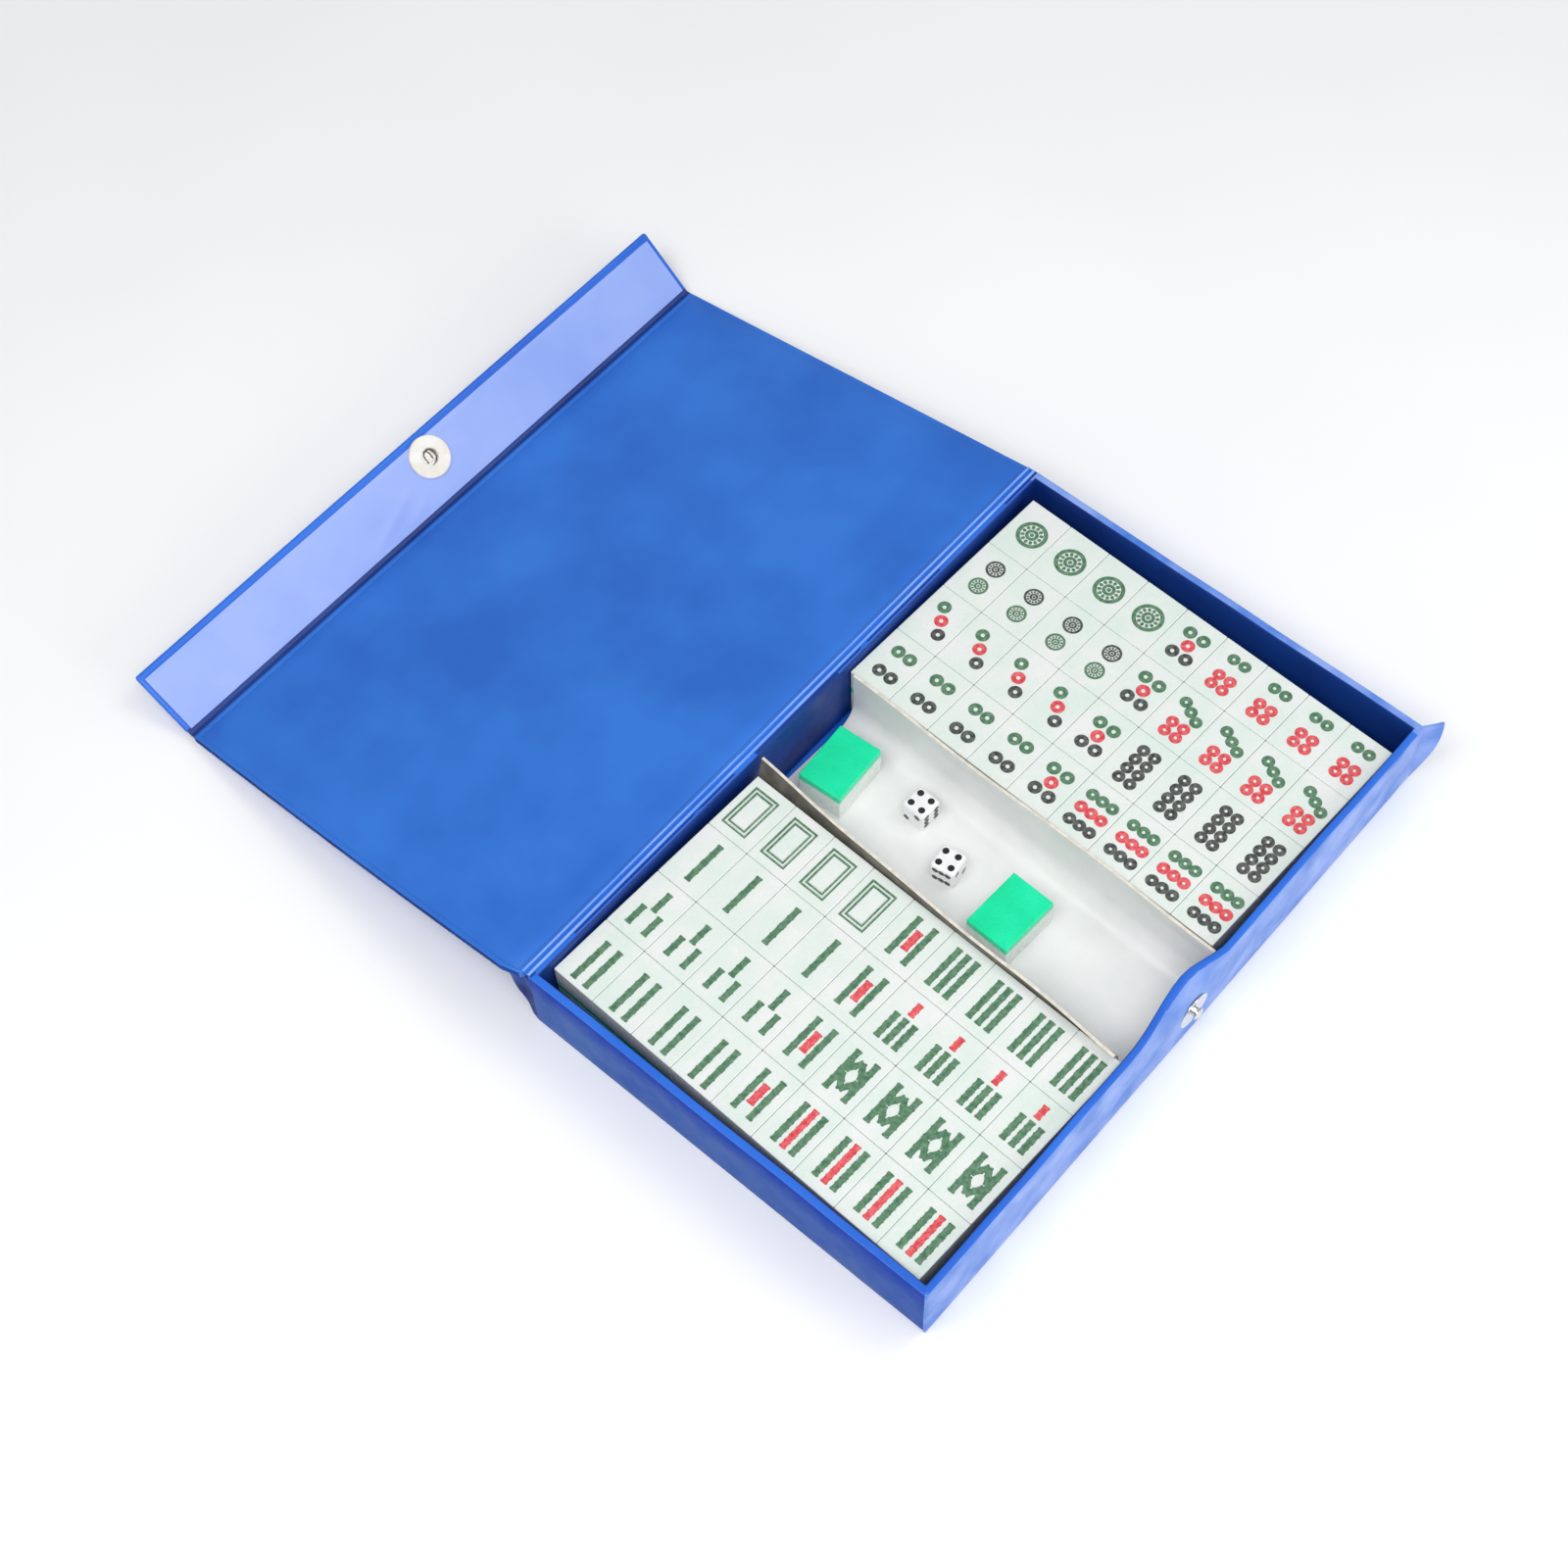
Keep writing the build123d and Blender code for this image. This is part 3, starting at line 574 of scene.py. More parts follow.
def corner_fin(name, side, reach, curl):
    """A fin that leaves a front corner diagonally and grows from nothing at the foot to its full reach."""
    bm = bmesh.new()
    slab(bm, (0, -FIN_THICK / 2, 0.4 * MM), (1, FIN_THICK / 2, rim_z + 0.1 * MM))
    cut_across(bm, 0, 0, 1, 0.2)
    cut_across(bm, 2, 0.0, rim_z, 1.8 * MM)
    outward = Vector((FIN_DIRECTION[0] * side, FIN_DIRECTION[1], 0))
    across = Vector((outward.y, -outward.x, 0))
    start = Vector((side * (half_x - CORNER), front_y + CORNER, 0))
    for vert in bm.verts:
        share, thickness, z = vert.co
        full = math.sin(min(1.0, z / FIN_FULL_HEIGHT) * math.pi / 2) ** FIN_POWER
        bend = curl * share ** 2 * math.sin(z / FIN_CURL_WAVE)
        vert.co = start + outward * share * (CORNER * 1.2 + reach * full) + across * (thickness + bend)
        vert.co.z = z - FIN_DROOP * share * full
    face_out(bm)
    # the fins take the paler blue of painted reflection
    return make_piece(name, bm, vinyl_reflection, "tray")


def gusset(name, side):
    """A web behind the spine: its lower edge rises steeply from the foot, its upper edge follows the lid."""
    bm = bmesh.new()
    slab(bm, (-FIN_THICK / 2, 0, 0), (FIN_THICK / 2, 1, 1))
    cut_across(bm, 1, 0, 1, 0.05)
    cut_across(bm, 2, 0, 1, 0.2)
    for vert in bm.verts:
        thickness, along, up = vert.co
        away = along ** 2 * GUSSET_REACH
        high = hinge.z - WEB_DROP - max(0.0, away - WEB_TOP_START) * math.tan(lid_slope)
        rise = max(0.0, away - RISE_START) / RISE_RUN
        low = GUSSET_FOOT + STEEP_RISE * min(1.0, rise) ** 0.45 + LAST_RISE * smooth_step(4 * (rise - 1.0))
        fold_wave = WEB_FOLD * math.sin(away / WEB_WAVE) * min(1.0, away / MM)
        x = side * (half_x - GUSSET_INSET) + thickness + fold_wave
        vert.co = Vector((x, spine_y - GUSSET_INSET + away, low + (high - low) * up))
    face_out(bm)
    # the gussets take the dark blue of painted shade
    return make_piece(name, bm, vinyl_web_shade, "tray")


corner_fin("corner_fin_right", 1, 6.2 * MM, 0.5 * MM)
corner_fin("corner_fin_left", -1, 0.6 * MM, 0.1 * MM)
gusset("gusset_left", -1)
gusset("gusset_right", 1)

# %% [markdown]
# The board inside the front wall has to bend with its cover, or it would show through.  It is the box of
# the CAD solid, cut into bays and moved by the same functions.

# %% Front board
low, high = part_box("front_wall_board")
bm = bmesh.new()
slab(bm, low, high)
cut_across(bm, 0, low.x, high.x, BAY_X)
cut_across(bm, 2, low.z, high.z, BAY_Z)
for vert in bm.verts:
    point = vert.co.copy()
    vert.co.y += front_bow(point) + slack(point, FRONT_SLACK)
front_board = make_piece("front_board", bm, greyboard, "tray")
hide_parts("front_wall_board")

# %% [markdown]
# ## Hinge, lid and flap
#
# The hinge is only the vinyl itself, welded in two lines with a thin valley between them. The tops of the
# ridges carry a painted highlight, and the part that dips into the tray has painted shade.

# %% Hinge strip
STRIP_START, STRIP_END = spine_y - 1.5 * MM, hinge.y + 1.9 * MM
STRIP_INSET = 0.3 * MM
STRIP_LOW, STRIP_HIGH = rim_z - 0.65 * MM, rim_z + 0.1 * MM
RIDGE_AWAY, RIDGE_RISE = 0.95 * MM, 0.42
RIDGE_HIGHLIGHT_SPAN = (0.65 * MM, 1.45 * MM)
SHADE_FROM = 1.6 * MM
RIDGE_HIGHLIGHT, SHADED = 1, 2

bm = bmesh.new()
slab(bm, (-half_x + STRIP_INSET, STRIP_START, STRIP_LOW), (half_x - STRIP_INSET, STRIP_END, STRIP_HIGH))
cut_across(bm, 1, STRIP_START, STRIP_END, 0.16 * MM)
cut_across(bm, 0, -half_x, half_x, 6.0 * MM)
for vert in bm.verts:
    across = vert.co.y
    ridge = bump(across - (hinge.y - RIDGE_AWAY), 0.75 * MM) + bump(across - (hinge.y + RIDGE_AWAY), 0.7 * MM)
    fall = max(0.0, across - hinge.y) * math.tan(lid_slope)
    vert.co.z += (RIDGE_RISE * ridge - 0.1) * MM - fall + 0.1 * MM * ripple(vert.co, 14 * MM, 8.0)
bm.normal_update()
for face in bm.faces:
    across = face.calc_center_median().y - hinge.y
    # painted highlight on the tops of the ridges
    if face.normal.z > 0.3 and RIDGE_HIGHLIGHT_SPAN[0] < abs(across) < RIDGE_HIGHLIGHT_SPAN[1]:
        face.material_index = RIDGE_HIGHLIGHT
    # painted shade where the strip dips into the tray
    if across < -SHADE_FROM:
        face.material_index = SHADED
spine_hinge = make_piece("spine_hinge", bm, [vinyl_blue, vinyl_ridge_highlight, vinyl_inner_shade], None)
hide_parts("lid_hinge_strip")
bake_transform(spine_hinge)

# %% [markdown]
# The lid is one sealed board.  It is drawn lying flat in the lid's own frame, with a rounded edge and a
# pressed weld line round the inside, and then laid at the slope of the open lid.  A slow ripple keeps the
# broad face from looking like glass, and the margin at the left spreads towards the hinge.  The lining and
# the outside each have their own blue, and the left edge is coloured with painted shade.

# %% Lid cover
LID_THICK = 2.6 * MM
PANEL_ROUND = 0.8 * MM
EDGE_BAND, LID_SPREAD, SPREAD_START = 2.5 * MM, 2.2 * MM, 3.5 * MM
LID_RIPPLE, LID_BAY = 0.15 * MM, 7.0 * MM
OUTSIDE, LEFT_EDGE_SHADE = 1, 2
lid_half_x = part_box("lid_outer_skin")[1].x
lid_start, lid_end = 0.7 * MM, fold_reach - 1.0 * MM

bm = bmesh.new()
slab(bm, (-lid_half_x, lid_start, -LID_THICK), (lid_half_x, lid_end, 0))
round_edges(bm, bm.edges[:], PANEL_ROUND, 4)
weld_line(bm, face_towards(bm, UP), 0.7 * MM, 0.8 * MM, 0.22 * MM)
cut_across(bm, 0, -lid_half_x, lid_half_x, LID_BAY)
cut_across(bm, 1, lid_start, lid_end, LID_BAY)
for vert in bm.verts:
    vert.co.z += LID_RIPPLE * ripple((vert.co.x, vert.co.y, 0), 42 * MM, 5.5)
    if vert.co.x < -lid_half_x + EDGE_BAND:
        vert.co.x -= LID_SPREAD * (1 - (vert.co.y / lid_end) ** 2) * smooth_step(vert.co.y / SPREAD_START)
bm.normal_update()
for face in bm.faces:
    if face.normal.z < -0.4:
        face.material_index = OUTSIDE
    # painted shade on the lid's left edge
    elif face.normal.x < -0.7:
        face.material_index = LEFT_EDGE_SHADE
bmesh.ops.transform(bm, matrix=lid_frame, verts=bm.verts)
lid_cover = make_piece("lid_cover", bm, [vinyl_lid, vinyl_blue, vinyl_web_shade], "lid")
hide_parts("lid_outer_skin", "lid_lining")

# %% [markdown]
# The flap twists: its free edge stands lower at the left than at the right, because the vinyl remembers how
# it was folded.  The twist turns each vertex about the fold by an angle that depends on X only, and leaves
# the place of the snap flat.  A Boolean modifier cuts the hole for the snap, and its result is kept as the
# mesh.

# %% Flap cover
FLAP_THICK = 2.0 * MM
FLAP_START, FLAP_END = 1.0 * MM, 23.0 * MM
FLAP_BAY = 4.0 * MM
TWIST_LEFT, TWIST_RIGHT = math.radians(-9.5), math.radians(4.5)
SNAP_X, SNAP_REACH = 4.0 * MM, 14.6 * MM
SNAP_CLEAR, SNAP_HOLE = 9.0 * MM, 3.0 * MM
DRILL_DEPTH = 20 * MM


def flap_twist(point):
    """Turns a point of the flap's frame about the fold, by more the nearer it lies to an end."""
    off = abs(point.x - SNAP_X) - SNAP_CLEAR
    share = smooth_step(off / (lid_half_x - SNAP_CLEAR)) if off > 0 else 0.0
    angle = share * (TWIST_RIGHT if point.x > SNAP_X else TWIST_LEFT)
    return Matrix.Rotation(angle, 3, "X") @ point


def cut_hole(piece, matrix):
    """Cuts the snap's round hole along the matrix's Z axis and keeps the result as the piece's mesh."""
    drill = bmesh.new()
    bmesh.ops.create_cone(drill, cap_ends=True, segments=48, radius1=SNAP_HOLE, radius2=SNAP_HOLE,
                          depth=DRILL_DEPTH, matrix=matrix)
    drill_mesh = bpy.data.meshes.new("drill")
    drill.to_mesh(drill_mesh)
    drill.free()
    cutter = bpy.data.objects.new("drill", drill_mesh)
    scene.collection.objects.link(cutter)
    modifier = piece.modifiers.new("hole", "BOOLEAN")
    modifier.operation = "DIFFERENCE"
    modifier.solver = "EXACT"
    modifier.object = cutter
    bpy.context.view_layer.update()
    kept = bpy.data.meshes.new_from_object(piece.evaluated_get(bpy.context.evaluated_depsgraph_get()))
    piece.modifiers.clear()
    piece.data = kept
    bpy.data.objects.remove(cutter)


snap_frame = flap_frame @ Matrix.Translation((SNAP_X, SNAP_REACH, 0))
bm = bmesh.new()
slab(bm, (-lid_half_x, FLAP_START, -FLAP_THICK), (lid_half_x, FLAP_END, 0))
round_edges(bm, bm.edges[:], PANEL_ROUND, 4)
weld_line(bm, face_towards(bm, UP), 0.8 * MM, 0.6 * MM, 0.12 * MM)
cut_across(bm, 0, -lid_half_x, lid_half_x, FLAP_BAY)
cut_across(bm, 1, FLAP_START, FLAP_END, FLAP_BAY)
for vert in bm.verts:
    vert.co = flap_twist(vert.co)
bmesh.ops.transform(bm, matrix=flap_frame, verts=bm.verts)
flap_cover = make_piece("flap_cover", bm, vinyl_blue, "flap")
cut_hole(flap_cover, snap_frame)
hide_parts("flap_outer_skin", "flap_board")

# %% [markdown]
# Inside the hem lies the lining, coloured paler as a painted reflection.  It starts as a grid of small faces
# given thickness by `solidify`, follows the same twist, and is pushed up along a few lines: the diagonal
# wrinkles beside the snap, where the sheet was pulled when the socket was pressed in.

# %% Flap lining with its wrinkles
LINING_START, LINING_END = 1.2 * MM, 20.6 * MM
LINING_INSET, LINING_THICK = 1.6 * MM, 0.3 * MM
LINING_REST, LINING_SLACK, LINING_RIPPLE = 0.04, 0.12, 0.10
WRINKLES = [((-9.0, 10.5), (-30.0, 2.5), 2.2, 0.42), ((-5.0, 5.8), (-17.0, 1.2), 1.8, 0.30),
            ((-84.0, 17.5), (-97.0, 3.0), 2.4, 0.34), ((64.0, 17.0), (84.0, 5.0), 3.0, 0.18),
            ((-52.0, 4.0), (-66.0, 13.0), 3.0, 0.16)]


def wrinkle_height(x, y):
    """Height of the raised lines over the lining at a place, in millimetres."""
    total = 0.0
    for start, end, half_width, height in WRINKLES:
        start, end, place = Vector(start), Vector(end), Vector((x, y))
        share = (place - start).dot(end - start) / (end - start).length_squared
        nearest = start.lerp(end, clamp(share))
        total += height * bump(share - 0.5, 0.75) * bump((place - nearest).length, half_width)
    return total


bm = bmesh.new()
bmesh.ops.create_grid(bm, x_segments=150, y_segments=18, size=1.0)
lining_half_x = lid_half_x - LINING_INSET
for vert in bm.verts:
    x = vert.co.x * lining_half_x
    y = LINING_START + (vert.co.y + 1) / 2 * (LINING_END - LINING_START)
    edge = min(1.0, (lining_half_x - abs(x)) / (2 * MM), (y - LINING_START) / MM, (LINING_END - y) / MM)
    lift = wrinkle_height(x / MM, y / MM) + LINING_RIPPLE * ripple((x, y, 0), 9 * MM, 1.3) + LINING_SLACK
    vert.co = flap_twist(Vector((x, y, (LINING_REST + max(0.0, edge) * lift) * MM)))
face_out(bm)
bmesh.ops.solidify(bm, geom=bm.faces[:], thickness=LINING_THICK)
bmesh.ops.transform(bm, matrix=flap_frame, verts=bm.verts)
face_out(bm)
flap_face = make_piece("flap_face", bm, vinyl_flap_reflection, "flap")
cut_hole(flap_face, snap_frame)
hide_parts("flap_lining")

# %% [markdown]
# Along the fold the vinyl is welded flat without a board, and the crease is coloured as a thin line of
# painted shade.  The crease is a narrow strip that bends from the lid to the flap.

# %% Fold crease
CREASE_HALF, CREASE_BEND = 1.5 * MM, 0.7 * MM
CREASE_LOW, CREASE_HIGH = -0.75 * MM, -0.2 * MM
crease_half_x = lid_half_x - 0.2 * MM

bm = bmesh.new()
slab(bm, (-crease_half_x, fold_reach - CREASE_HALF, CREASE_LOW),
     (crease_half_x, fold_reach + CREASE_HALF, CREASE_HIGH))
cut_across(bm, 1, fold_reach - CREASE_HALF, fold_reach + CREASE_HALF, 0.25 * MM)
cut_across(bm, 0, -lid_half_x, lid_half_x, 8.0 * MM)
for vert in bm.verts:
    reach = vert.co.y - fold_reach
    turned = Matrix.Rotation(flap_turn * smooth_step((reach + CREASE_BEND) / (2 * CREASE_BEND)), 3, "X")
    bent = turned @ Vector((vert.co.x, reach, vert.co.z))
    vert.co = Vector((bent.x, bent.y + fold_reach, bent.z))
bmesh.ops.transform(bm, matrix=lid_frame, verts=bm.verts)
fold_crease = make_piece("fold_crease", bm, vinyl_crease_shade, None)
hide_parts("flap_fold_strip")
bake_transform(fold_crease)

# %% [markdown]
# ## The trough
#
# A bent sheet of white plastic stands between the blocks.  It begins as a grid whose first direction
# follows the cross-section and whose second runs along the trough.  Once every vertex is on its place the
# two upright sides lean and wave, and `solidify` gives the sheet its thickness.  It is a hair thinner than
# the CAD solid, so that the dice on its floor stay clear of it, and the top of the left side dips a little,
# clear of the closed lid.

# %% Trough sheet
SHEET = 0.88 * MM
BEND = 8.0 * MM
BLOCK_TURN = math.radians(-1.8)
TROUGH_LEFT_TOP, TROUGH_RIGHT_TOP = 26.8 * MM, 24.6 * MM
TROUGH_HALF = 21.1 * MM
LEAN_IN, LEAN_OUT = 3.0 * MM, 1.5 * MM
SIDE_WAVE = 0.35 * MM
TOP_DIP = 0.2 * MM
trough_low, trough_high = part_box("divider_trough")
trough_x = (trough_low.x + trough_high.x) / 2
trough_reach = (trough_high.y - trough_low.y) / 2
trough_half_y = (trough_reach - TROUGH_HALF * math.sin(-BLOCK_TURN)) / math.cos(BLOCK_TURN)
trough_place = Matrix.Translation((trough_x, 0, 0)) @ Matrix.Rotation(BLOCK_TURN, 4, "Z")


def trough_section(share):
    """Point of the outer cross-section, from the top of the left side (0) to that of the right side (1)."""
    flat, quarter = TROUGH_HALF - BEND, BEND * math.pi / 2
    left, right = TROUGH_LEFT_TOP - floor_z - BEND, TROUGH_RIGHT_TOP - floor_z - BEND
    way = share * (left + right + 2 * (flat + quarter)) - (left + quarter + flat)
    away = abs(way)
    if away <= flat:
        return way, floor_z
    if away <= flat + quarter:
        turn = (away - flat) / BEND
        return math.copysign(flat + BEND * math.sin(turn), way), floor_z + BEND * (1 - math.cos(turn))
    return math.copysign(TROUGH_HALF, way), floor_z + BEND + away - flat - quarter


def side_lean(x, y, z):
    """Sideways and upward drift of the sheet's two free sides."""
    along = y / trough_half_y

    def above(height, run):
        return smooth_step((z - height * MM) / (run * MM))

    if x < 0:
        inward = LEAN_IN * smooth_step((along - 0.1) / 0.9) * above(12, 15)
        outward = LEAN_OUT * smooth_step((-along - 0.2) / 0.8) * above(23.8, 3)
        wave = SIDE_WAVE * math.sin(y / (9 * MM)) * above(20, 6)
        return inward - outward + wave, -TOP_DIP * (1.5 - math.sin(y / (11 * MM))) * above(22, 4)
    return -SIDE_WAVE * (1 + math.sin(y / (13 * MM))) * above(18, 6), 0.0


bm = bmesh.new()
bmesh.ops.create_grid(bm, x_segments=72, y_segments=64, size=0.5)
for vert in bm.verts:
    x, z = trough_section(vert.co.x + 0.5)
    y = vert.co.y * 2 * trough_half_y
    aside, upward = side_lean(x, y, z)
    vert.co = (x + aside, y, z + upward)
face_out(bm)
centre_face = min(bm.faces, key=lambda face: (face.calc_center_median() - Vector((0, 0, floor_z))).length)
if centre_face.normal.z < 0:
    bmesh.ops.reverse_faces(bm, faces=bm.faces)
bmesh.ops.solidify(bm, geom=bm.faces[:], thickness=-SHEET)
face_out(bm)
for face in bm.faces:
    middle, normal = face.calc_center_median(), face.normal
    # painted shade on the outer faces of the trough's sides above the bend
    if middle.z > floor_z + BEND and abs(normal.z) < 0.5 and normal.x * middle.x > 0.7 * abs(middle.x):
        face.material_index = 1
    if abs(normal.y) > 0.8 or (normal.z > 0.6 and middle.z > TROUGH_RIGHT_TOP - 1.5 * MM):
        face.material_index = 2
bmesh.ops.transform(bm, matrix=trough_place, verts=bm.verts)
trough_tones = [trough_white, trough_back_shade, trough_edge]
trough_sheet = make_piece("trough_sheet", bm, trough_tones, "trough")
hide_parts("divider_trough")
heights = [vert.co.z / MM for vert in trough_sheet.data.vertices]
print(f"trough from {min(heights):.2f} to {max(heights):.2f} mm above the table")

# %% [markdown]
# ## Finishes of the CAD solids
#
# Tiles, dice, boards and the press stud are already the right shape, so they keep their CAD meshes and only
# get better materials.

# %% Give the CAD solids their finish
def dress(material, *names):
    for name in names:
        for socket in frame["nodes"][name].material_slots:
            socket.material = material


GREEN_LAYER = 2.6 * MM
upper_low, upper_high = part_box("circle_5_tiles")
lower_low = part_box("character_tiles")[0]
spare_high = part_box("spare_tile_1")[1]
upper_tile = tile_plastic("tile_upper_layer", upper_low.z - MM, upper_low.z + GREEN_LAYER)
lower_tile = tile_plastic("tile_lower_layer", lower_low.z - MM, lower_low.z + GREEN_LAYER)
spare_tile = tile_plastic("tile_back_up", spare_high.z - GREEN_LAYER, spare_high.z + MM)
circle_nodes = [f"circle_{number}_tiles" for number in range(1, 10)]
bamboo_nodes = [f"bamboo_{number}_tiles" for number in range(2, 10)] + ["white_dragon_tiles"]
dress(upper_tile, *circle_nodes, *bamboo_nodes)
dress(lower_tile, "character_tiles", "bamboo_1_tiles", "wind_tiles", "dragon_tiles", "flower_tiles")
dress(spare_tile, "spare_tile_1", "spare_tile_2")
dress(dice_white, "die_1", "die_2")
dress(nickel, "snap_stud", "snap_post", "snap_cap")
dress(ivory, "snap_socket")
dress(brass_wire, "snap_spring")
dress(greyboard, "tray_base_board", "left_wall_board", "right_wall_board", "spine_wall_board", "lid_board")
print("dressed:", len(circle_nodes + bamboo_nodes), "nodes of the upper layer")

# %% [markdown]
# ## Painted marks
#
# Each mark is drawn once as a small closed prism and stamped into every groove that needs it.  A face's own
# frame has U to its right and V up; in the blocks U points to -Y and V to +X, and each block is turned a
# little, like the tiles themselves.  The grooves are 0.3 mm deep, and the paint stays just below the face.
# Some marks cross, so each mark of a face lies a hair lower than the one before it: two surfaces at the
# same height would flicker.

# %% Shapes of the marks
PAINT_TOP, PAINT_FOOT = -0.05, -0.25
PAINT_STEP = 0.004
TILE_PITCH_X, TILE_PITCH_Y = 20.1, 14.5
PAINT_PLAY = 0.02
STICK_END_PLAY = 0.06
MARKS_ASIDE, FRAME_ASIDE = 0.7, -0.7
ROSETTE_RIM, ROSETTE_RING = (1.0, 0.74), (0.42, 0.20)
ROSETTE_DOT, ROSETTE_PETAL, PETALS_AWAY = 0.14, 0.11, 0.585
PETALS, PETAL_STRETCH = 12, 1.2
KNOT_LENGTH, KNOT_CUTS = 0.9, (-0.46, -0.43, -0.2, 0.2, 0.43, 0.46)
KNOT_HALF, SHOULDER_HALF, WAIST_HALF = 1.1, 0.96, 0.925


def keep_as_mesh(bm, name):
    face_out(bm)
    mesh = bpy.data.meshes.new(name)
    bm.to_mesh(mesh)
    bm.free()
    return mesh


def turned_band(bm, inner, outer, steps=24):
    """A flat ring: an upright rectangle of four edges, spun once round the Z axis."""
    grid = bmesh.ops.create_grid(bm, x_segments=1, y_segments=1, size=0.5)["verts"]
    for vert in grid:
        across = inner + (vert.co.x + 0.5) * (outer - inner)
        up = PAINT_FOOT + (vert.co.y + 0.5) * (PAINT_TOP - PAINT_FOOT)
        vert.co = (across, 0, up)
    face = grid[0].link_faces[0]
    edges = face.edges[:]
    bmesh.ops.delete(bm, geom=[face], context="FACES_ONLY")
    bmesh.ops.spin(bm, geom=edges, cent=(0, 0, 0), axis=(0, 0, 1), angle=math.tau, steps=steps,
                   use_merge=True)


def turned_disc(bm, radius, steps=16, place=(0, 0), stretch=1.0, turn=0.0):
    matrix = (Matrix.Rotation(turn, 4, "Z") @ Matrix.Translation((*place, (PAINT_TOP + PAINT_FOOT) / 2))
              @ Matrix.Diagonal((stretch, 1, 1, 1)))
    bmesh.ops.create_cone(bm, cap_ends=True, segments=steps, radius1=radius, radius2=radius,
                          depth=PAINT_TOP - PAINT_FOOT, matrix=matrix)


def ring_mark(outer, inner):
    bm = bmesh.new()
    turned_band(bm, inner + PAINT_PLAY, outer - PAINT_PLAY)
    return keep_as_mesh(bm, "ring_mark")


def rosette_mark(radius):
    bm = bmesh.new()
    for (outer, inner), steps in ((ROSETTE_RIM, 40), (ROSETTE_RING, 24)):
        turned_band(bm, radius * inner + PAINT_PLAY, radius * outer - PAINT_PLAY, steps)
    turned_disc(bm, radius * ROSETTE_DOT - PAINT_PLAY)
    for index in range(PETALS):
        turned_disc(bm, radius * ROSETTE_PETAL - PAINT_PLAY, 12, (radius * PETALS_AWAY, 0), PETAL_STRETCH,
                    index * math.tau / PETALS)
    return keep_as_mesh(bm, "rosette_mark")


def stick_mark(length, boldness=1.0):
    """A bar that swells at three knots; every knot has rounded shoulders."""
    bm = bmesh.new()
    slab(bm, (-0.5, -length / 2 + STICK_END_PLAY, PAINT_FOOT), (0.5, length / 2 - STICK_END_PLAY, PAINT_TOP))
    knots = [side * (length - KNOT_LENGTH) / 2 for side in (-1, 0, 1)]
    for knot in knots:
        for offset in KNOT_CUTS:
            slice_with(bm, (0, knot + offset, 0), (0, 1, 0), snap=1e-5)
    for vert in bm.verts:
        away = min(abs(vert.co.y - knot) for knot in knots)
        half = KNOT_HALF if away < 0.21 else (SHOULDER_HALF if away < 0.445 else WAIST_HALF)
        vert.co.x = math.copysign(half * boldness - PAINT_PLAY, vert.co.x)
    return keep_as_mesh(bm, "stick_mark")


def frame_mark(width, length, line):
    """A rectangular outline: an inset face whose middle is left out, given thickness."""
    bm = bmesh.new()
    corners = bmesh.ops.create_grid(bm, x_segments=1, y_segments=1, size=0.5)["verts"]
    size = (width - 2 * PAINT_PLAY, length - 2 * PAINT_PLAY, 1)
    bmesh.ops.scale(bm, vec=size, verts=corners)
    bmesh.ops.translate(bm, vec=(0, 0, PAINT_FOOT), verts=corners)
    middle = bm.faces[:]
    bmesh.ops.inset_region(bm, faces=middle, thickness=line - 2 * PAINT_PLAY, use_boundary=True)
    bmesh.ops.delete(bm, geom=middle, context="FACES")
    raised = bmesh.ops.extrude_face_region(bm, geom=bm.faces[:])["geom"]
    lifted = [item for item in raised if isinstance(item, bmesh.types.BMVert)]
    bmesh.ops.translate(bm, vec=(0, 0, PAINT_TOP - PAINT_FOOT), verts=lifted)
    return keep_as_mesh(bm, "frame_mark")


MARKS = {"ring": ring_mark(2.1, 0.6), "tight": ring_mark(1.9, 0.45), "large": rosette_mark(4.75),
         "middle": rosette_mark(2.95), "long": stick_mark(7.1), "bold": stick_mark(7.1, 1.2),
         "short": stick_mark(4.65), "slanted": stick_mark(5.2),
         "outer_frame": frame_mark(8.8, 14.4, 0.8), "inner_frame": frame_mark(6.4, 12.0, 0.8)}
print("marks:", {name: len(mesh.polygons) for name, mesh in MARKS.items()})

# %% [markdown]
# The traditional layouts are short tables: for each face, the marks with their colour and place.  Face 1 of
# the left block is the white dragon's frame, because its tiles lie where the ones would be.

# %% Layout of the faces
def spread(mark, colour, us, vs, lean=0.0):
    return [(mark, colour, u, v, lean) for v in vs for u in us]


CIRCLES = {
    1: spread("large", "green", (0,), (0,)),
    2: spread("middle", "black", (0,), (3.85,)) + spread("middle", "green", (0,), (-3.85,)),
    3: [("ring", "green", -2.4, 4.2, 0), ("ring", "red", 0, 0, 0), ("ring", "black", 2.4, -4.2, 0)],
    4: spread("ring", "green", (-2.15, 2.15), (4.1,)) + spread("ring", "black", (-2.15, 2.15), (-4.1,)),
    5: spread("ring", "green", (-2.4, 2.4), (4.1,)) + spread("ring", "black", (-2.4, 2.4), (-4.1,))
       + spread("ring", "red", (0,), (0,)),
    6: spread("tight", "green", (-1.95, 1.95), (5.1,)) + spread("tight", "red", (-1.95, 1.95), (-1.6, -5.25)),
    7: [("tight", "green", -3.1, 5.1, 0), ("tight", "green", 0, 3.35, 0), ("tight", "green", 3.1, 1.6, 0)]
       + spread("tight", "red", (-1.95, 1.95), (-2.4, -6.05)),
    8: spread("tight", "black", (-1.95, 1.95), (4.9, 1.25, -2.4, -6.05)),
    9: spread("tight", "green", (-3.5, 0, 3.5), (4.7,)) + spread("tight", "red", (-3.5, 0, 3.5), (-0.3,))
       + spread("tight", "black", (-3.5, 0, 3.5), (-5.3,)),
}
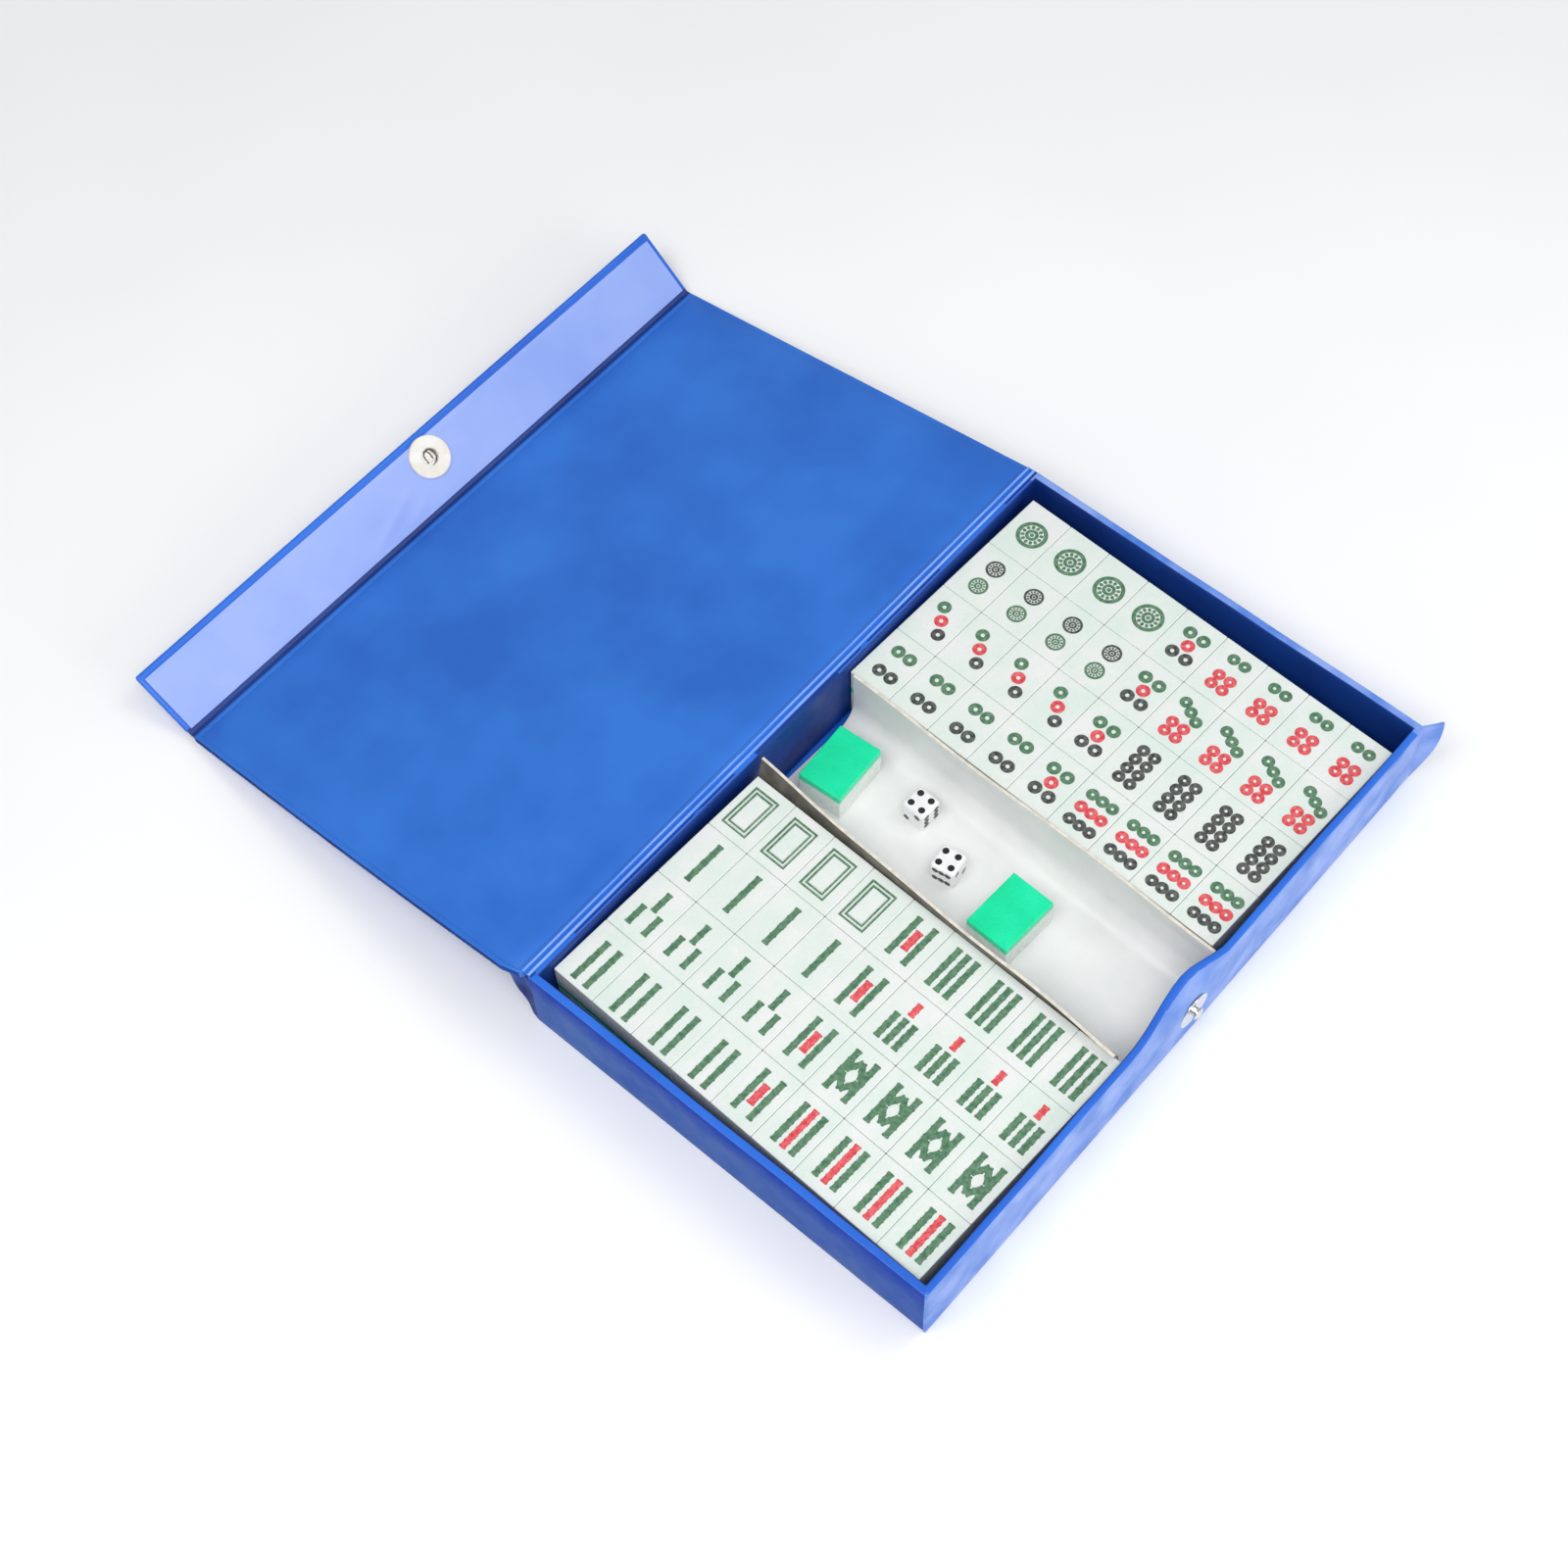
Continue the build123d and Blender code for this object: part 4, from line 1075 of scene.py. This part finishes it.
BAMBOOS = {
    1: [("outer_frame", "green", 0, 0, 0), ("inner_frame", "green", 0, 0, 0)],
    2: spread("long", "green", (0,), (3.5, -3.5)),
    3: spread("long", "green", (0,), (3.5,)) + spread("long", "green", (-3.0, 3.0), (-3.5,)),
    4: spread("long", "green", (-2.25, 2.25), (2.0, -5.0)),
    5: spread("long", "green", (-2.8, 2.8), (3.5, -3.5)) + spread("bold", "red", (0,), (0,)),
    6: spread("long", "green", (-3.15, 0, 3.15), (3.5, -3.5)),
    7: spread("short", "red", (0,), (5.3,)) + spread("short", "green", (-3.1, 0, 3.1), (-0.4, -4.95)),
    8: spread("long", "green", (-3.25, 3.25), (3.5, -3.5))
       + [("slanted", "green", side * 1.25, v, math.radians(side * lean))
          for side in (-1, 1) for v, lean in ((2.7, 32), (-2.7, -32))],
    9: spread("short", "green", (-3.15, 3.15), (4.6, 0, -4.6)) + spread("short", "red", (0,), (4.6, 0, -4.6)),
}
FACE_TURN = Matrix.Rotation(math.radians(-90), 4, "Z")
IN_MM = Matrix.Diagonal((MM, MM, MM, 1))


def face_cells(number):
    """Rows count from a block's left side and columns from the spine."""
    if number == 5:
        return [(row, 4) for row in range(4)]
    if number <= 4:
        return [(4 - number, column) for column in range(4)]
    return [(9 - number, column) for column in range(5, 9)]


def block_place(node_names):
    """The middle of a block's upper layer, turned like the block."""
    boxes = [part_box(name) for name in node_names]
    middle_x = (min(low.x for low, high in boxes) + max(high.x for low, high in boxes)) / 2
    middle_y = (min(low.y for low, high in boxes) + max(high.y for low, high in boxes)) / 2
    return (Matrix.Translation((middle_x, middle_y, upper_high.z)) @ Matrix.Rotation(BLOCK_TURN, 4, "Z")
            @ IN_MM)


def paint_block(prefix, body, layout, place):
    """Stamps every mark of one block, one piece for each colour."""
    sheets = {}
    for number, marks in layout.items():
        for row, column in face_cells(number):
            cell_middle = ((row - 1.5) * TILE_PITCH_X, (4 - column) * TILE_PITCH_Y, 0)
            cell = place @ Matrix.Translation(cell_middle) @ FACE_TURN
            for order, (mark, colour, u, v, lean) in enumerate(marks):
                if colour not in sheets:
                    sheets[colour] = bmesh.new()
                bm = sheets[colour]
                known = len(bm.verts)
                bm.from_mesh(MARKS[mark])
                bm.verts.ensure_lookup_table()
                aside = FRAME_ASIDE if "frame" in mark else MARKS_ASIDE
                spot = Matrix.Translation((u + aside, v, -order * PAINT_STEP)) @ Matrix.Rotation(lean, 4, "Z")
                bmesh.ops.transform(bm, matrix=cell @ spot, verts=bm.verts[known:])
    for colour, bm in sheets.items():
        make_piece(f"{prefix}_paint_{colour}", bm, paints[colour], body)


paint_block("circle", "right_upper_tiles", CIRCLES, block_place(circle_nodes))
paint_block("bamboo", "left_upper_tiles", BAMBOOS, block_place(bamboo_nodes))

# %% [markdown]
# The pips of the dice are shallow hollows with black in them: a flat cone that stops just short of the
# hollow's surface.

# %% Pips of the dice
PIP_PITCH = 2.0
PIP_INNER, PIP_OUTER, PIP_DEPTH, PIP_MIDDLE = 0.6, 1.02, 0.195, 0.1375
PIP_LAYOUT = {1: [(0, 0)], 2: [(-1, 1), (1, -1)], 3: [(-1, 1), (1, -1), (0, 0)]}
PIP_LAYOUT[4] = PIP_LAYOUT[2] + [(1, 1), (-1, -1)]
PIP_LAYOUT[5] = PIP_LAYOUT[4] + [(0, 0)]
PIP_LAYOUT[6] = PIP_LAYOUT[4] + [(-1, 0), (1, 0)]


def pip_paint(name, turn, left_count):
    low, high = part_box(name)
    middle = (low + high) / 2
    half = (high.z - low.z) / 2 / MM
    place = Matrix.Translation(middle) @ Matrix.Rotation(math.radians(turn), 4, "Z") @ IN_MM
    sides = {4: (0, "X"), 3: (180, "X"), left_count: (-90, "Y"), 7 - left_count: (90, "Y"),
             8 - left_count: (90, "X"), left_count - 1: (-90, "X")}
    bm = bmesh.new()
    for count, (angle, axis) in sides.items():
        side = Matrix.Rotation(math.radians(angle), 4, axis)
        for u, v in PIP_LAYOUT[count]:
            spot = Matrix.Translation((u * PIP_PITCH, v * PIP_PITCH, half - PIP_MIDDLE))
            bmesh.ops.create_cone(bm, cap_ends=True, segments=24, radius1=PIP_INNER, radius2=PIP_OUTER,
                                  depth=PIP_DEPTH, matrix=place @ side @ spot)
    face_out(bm)
    make_piece(f"{name}_pips", bm, pip_black, name)


pip_paint("die_1", -3.0, 2)
pip_paint("die_2", 9.0, 6)
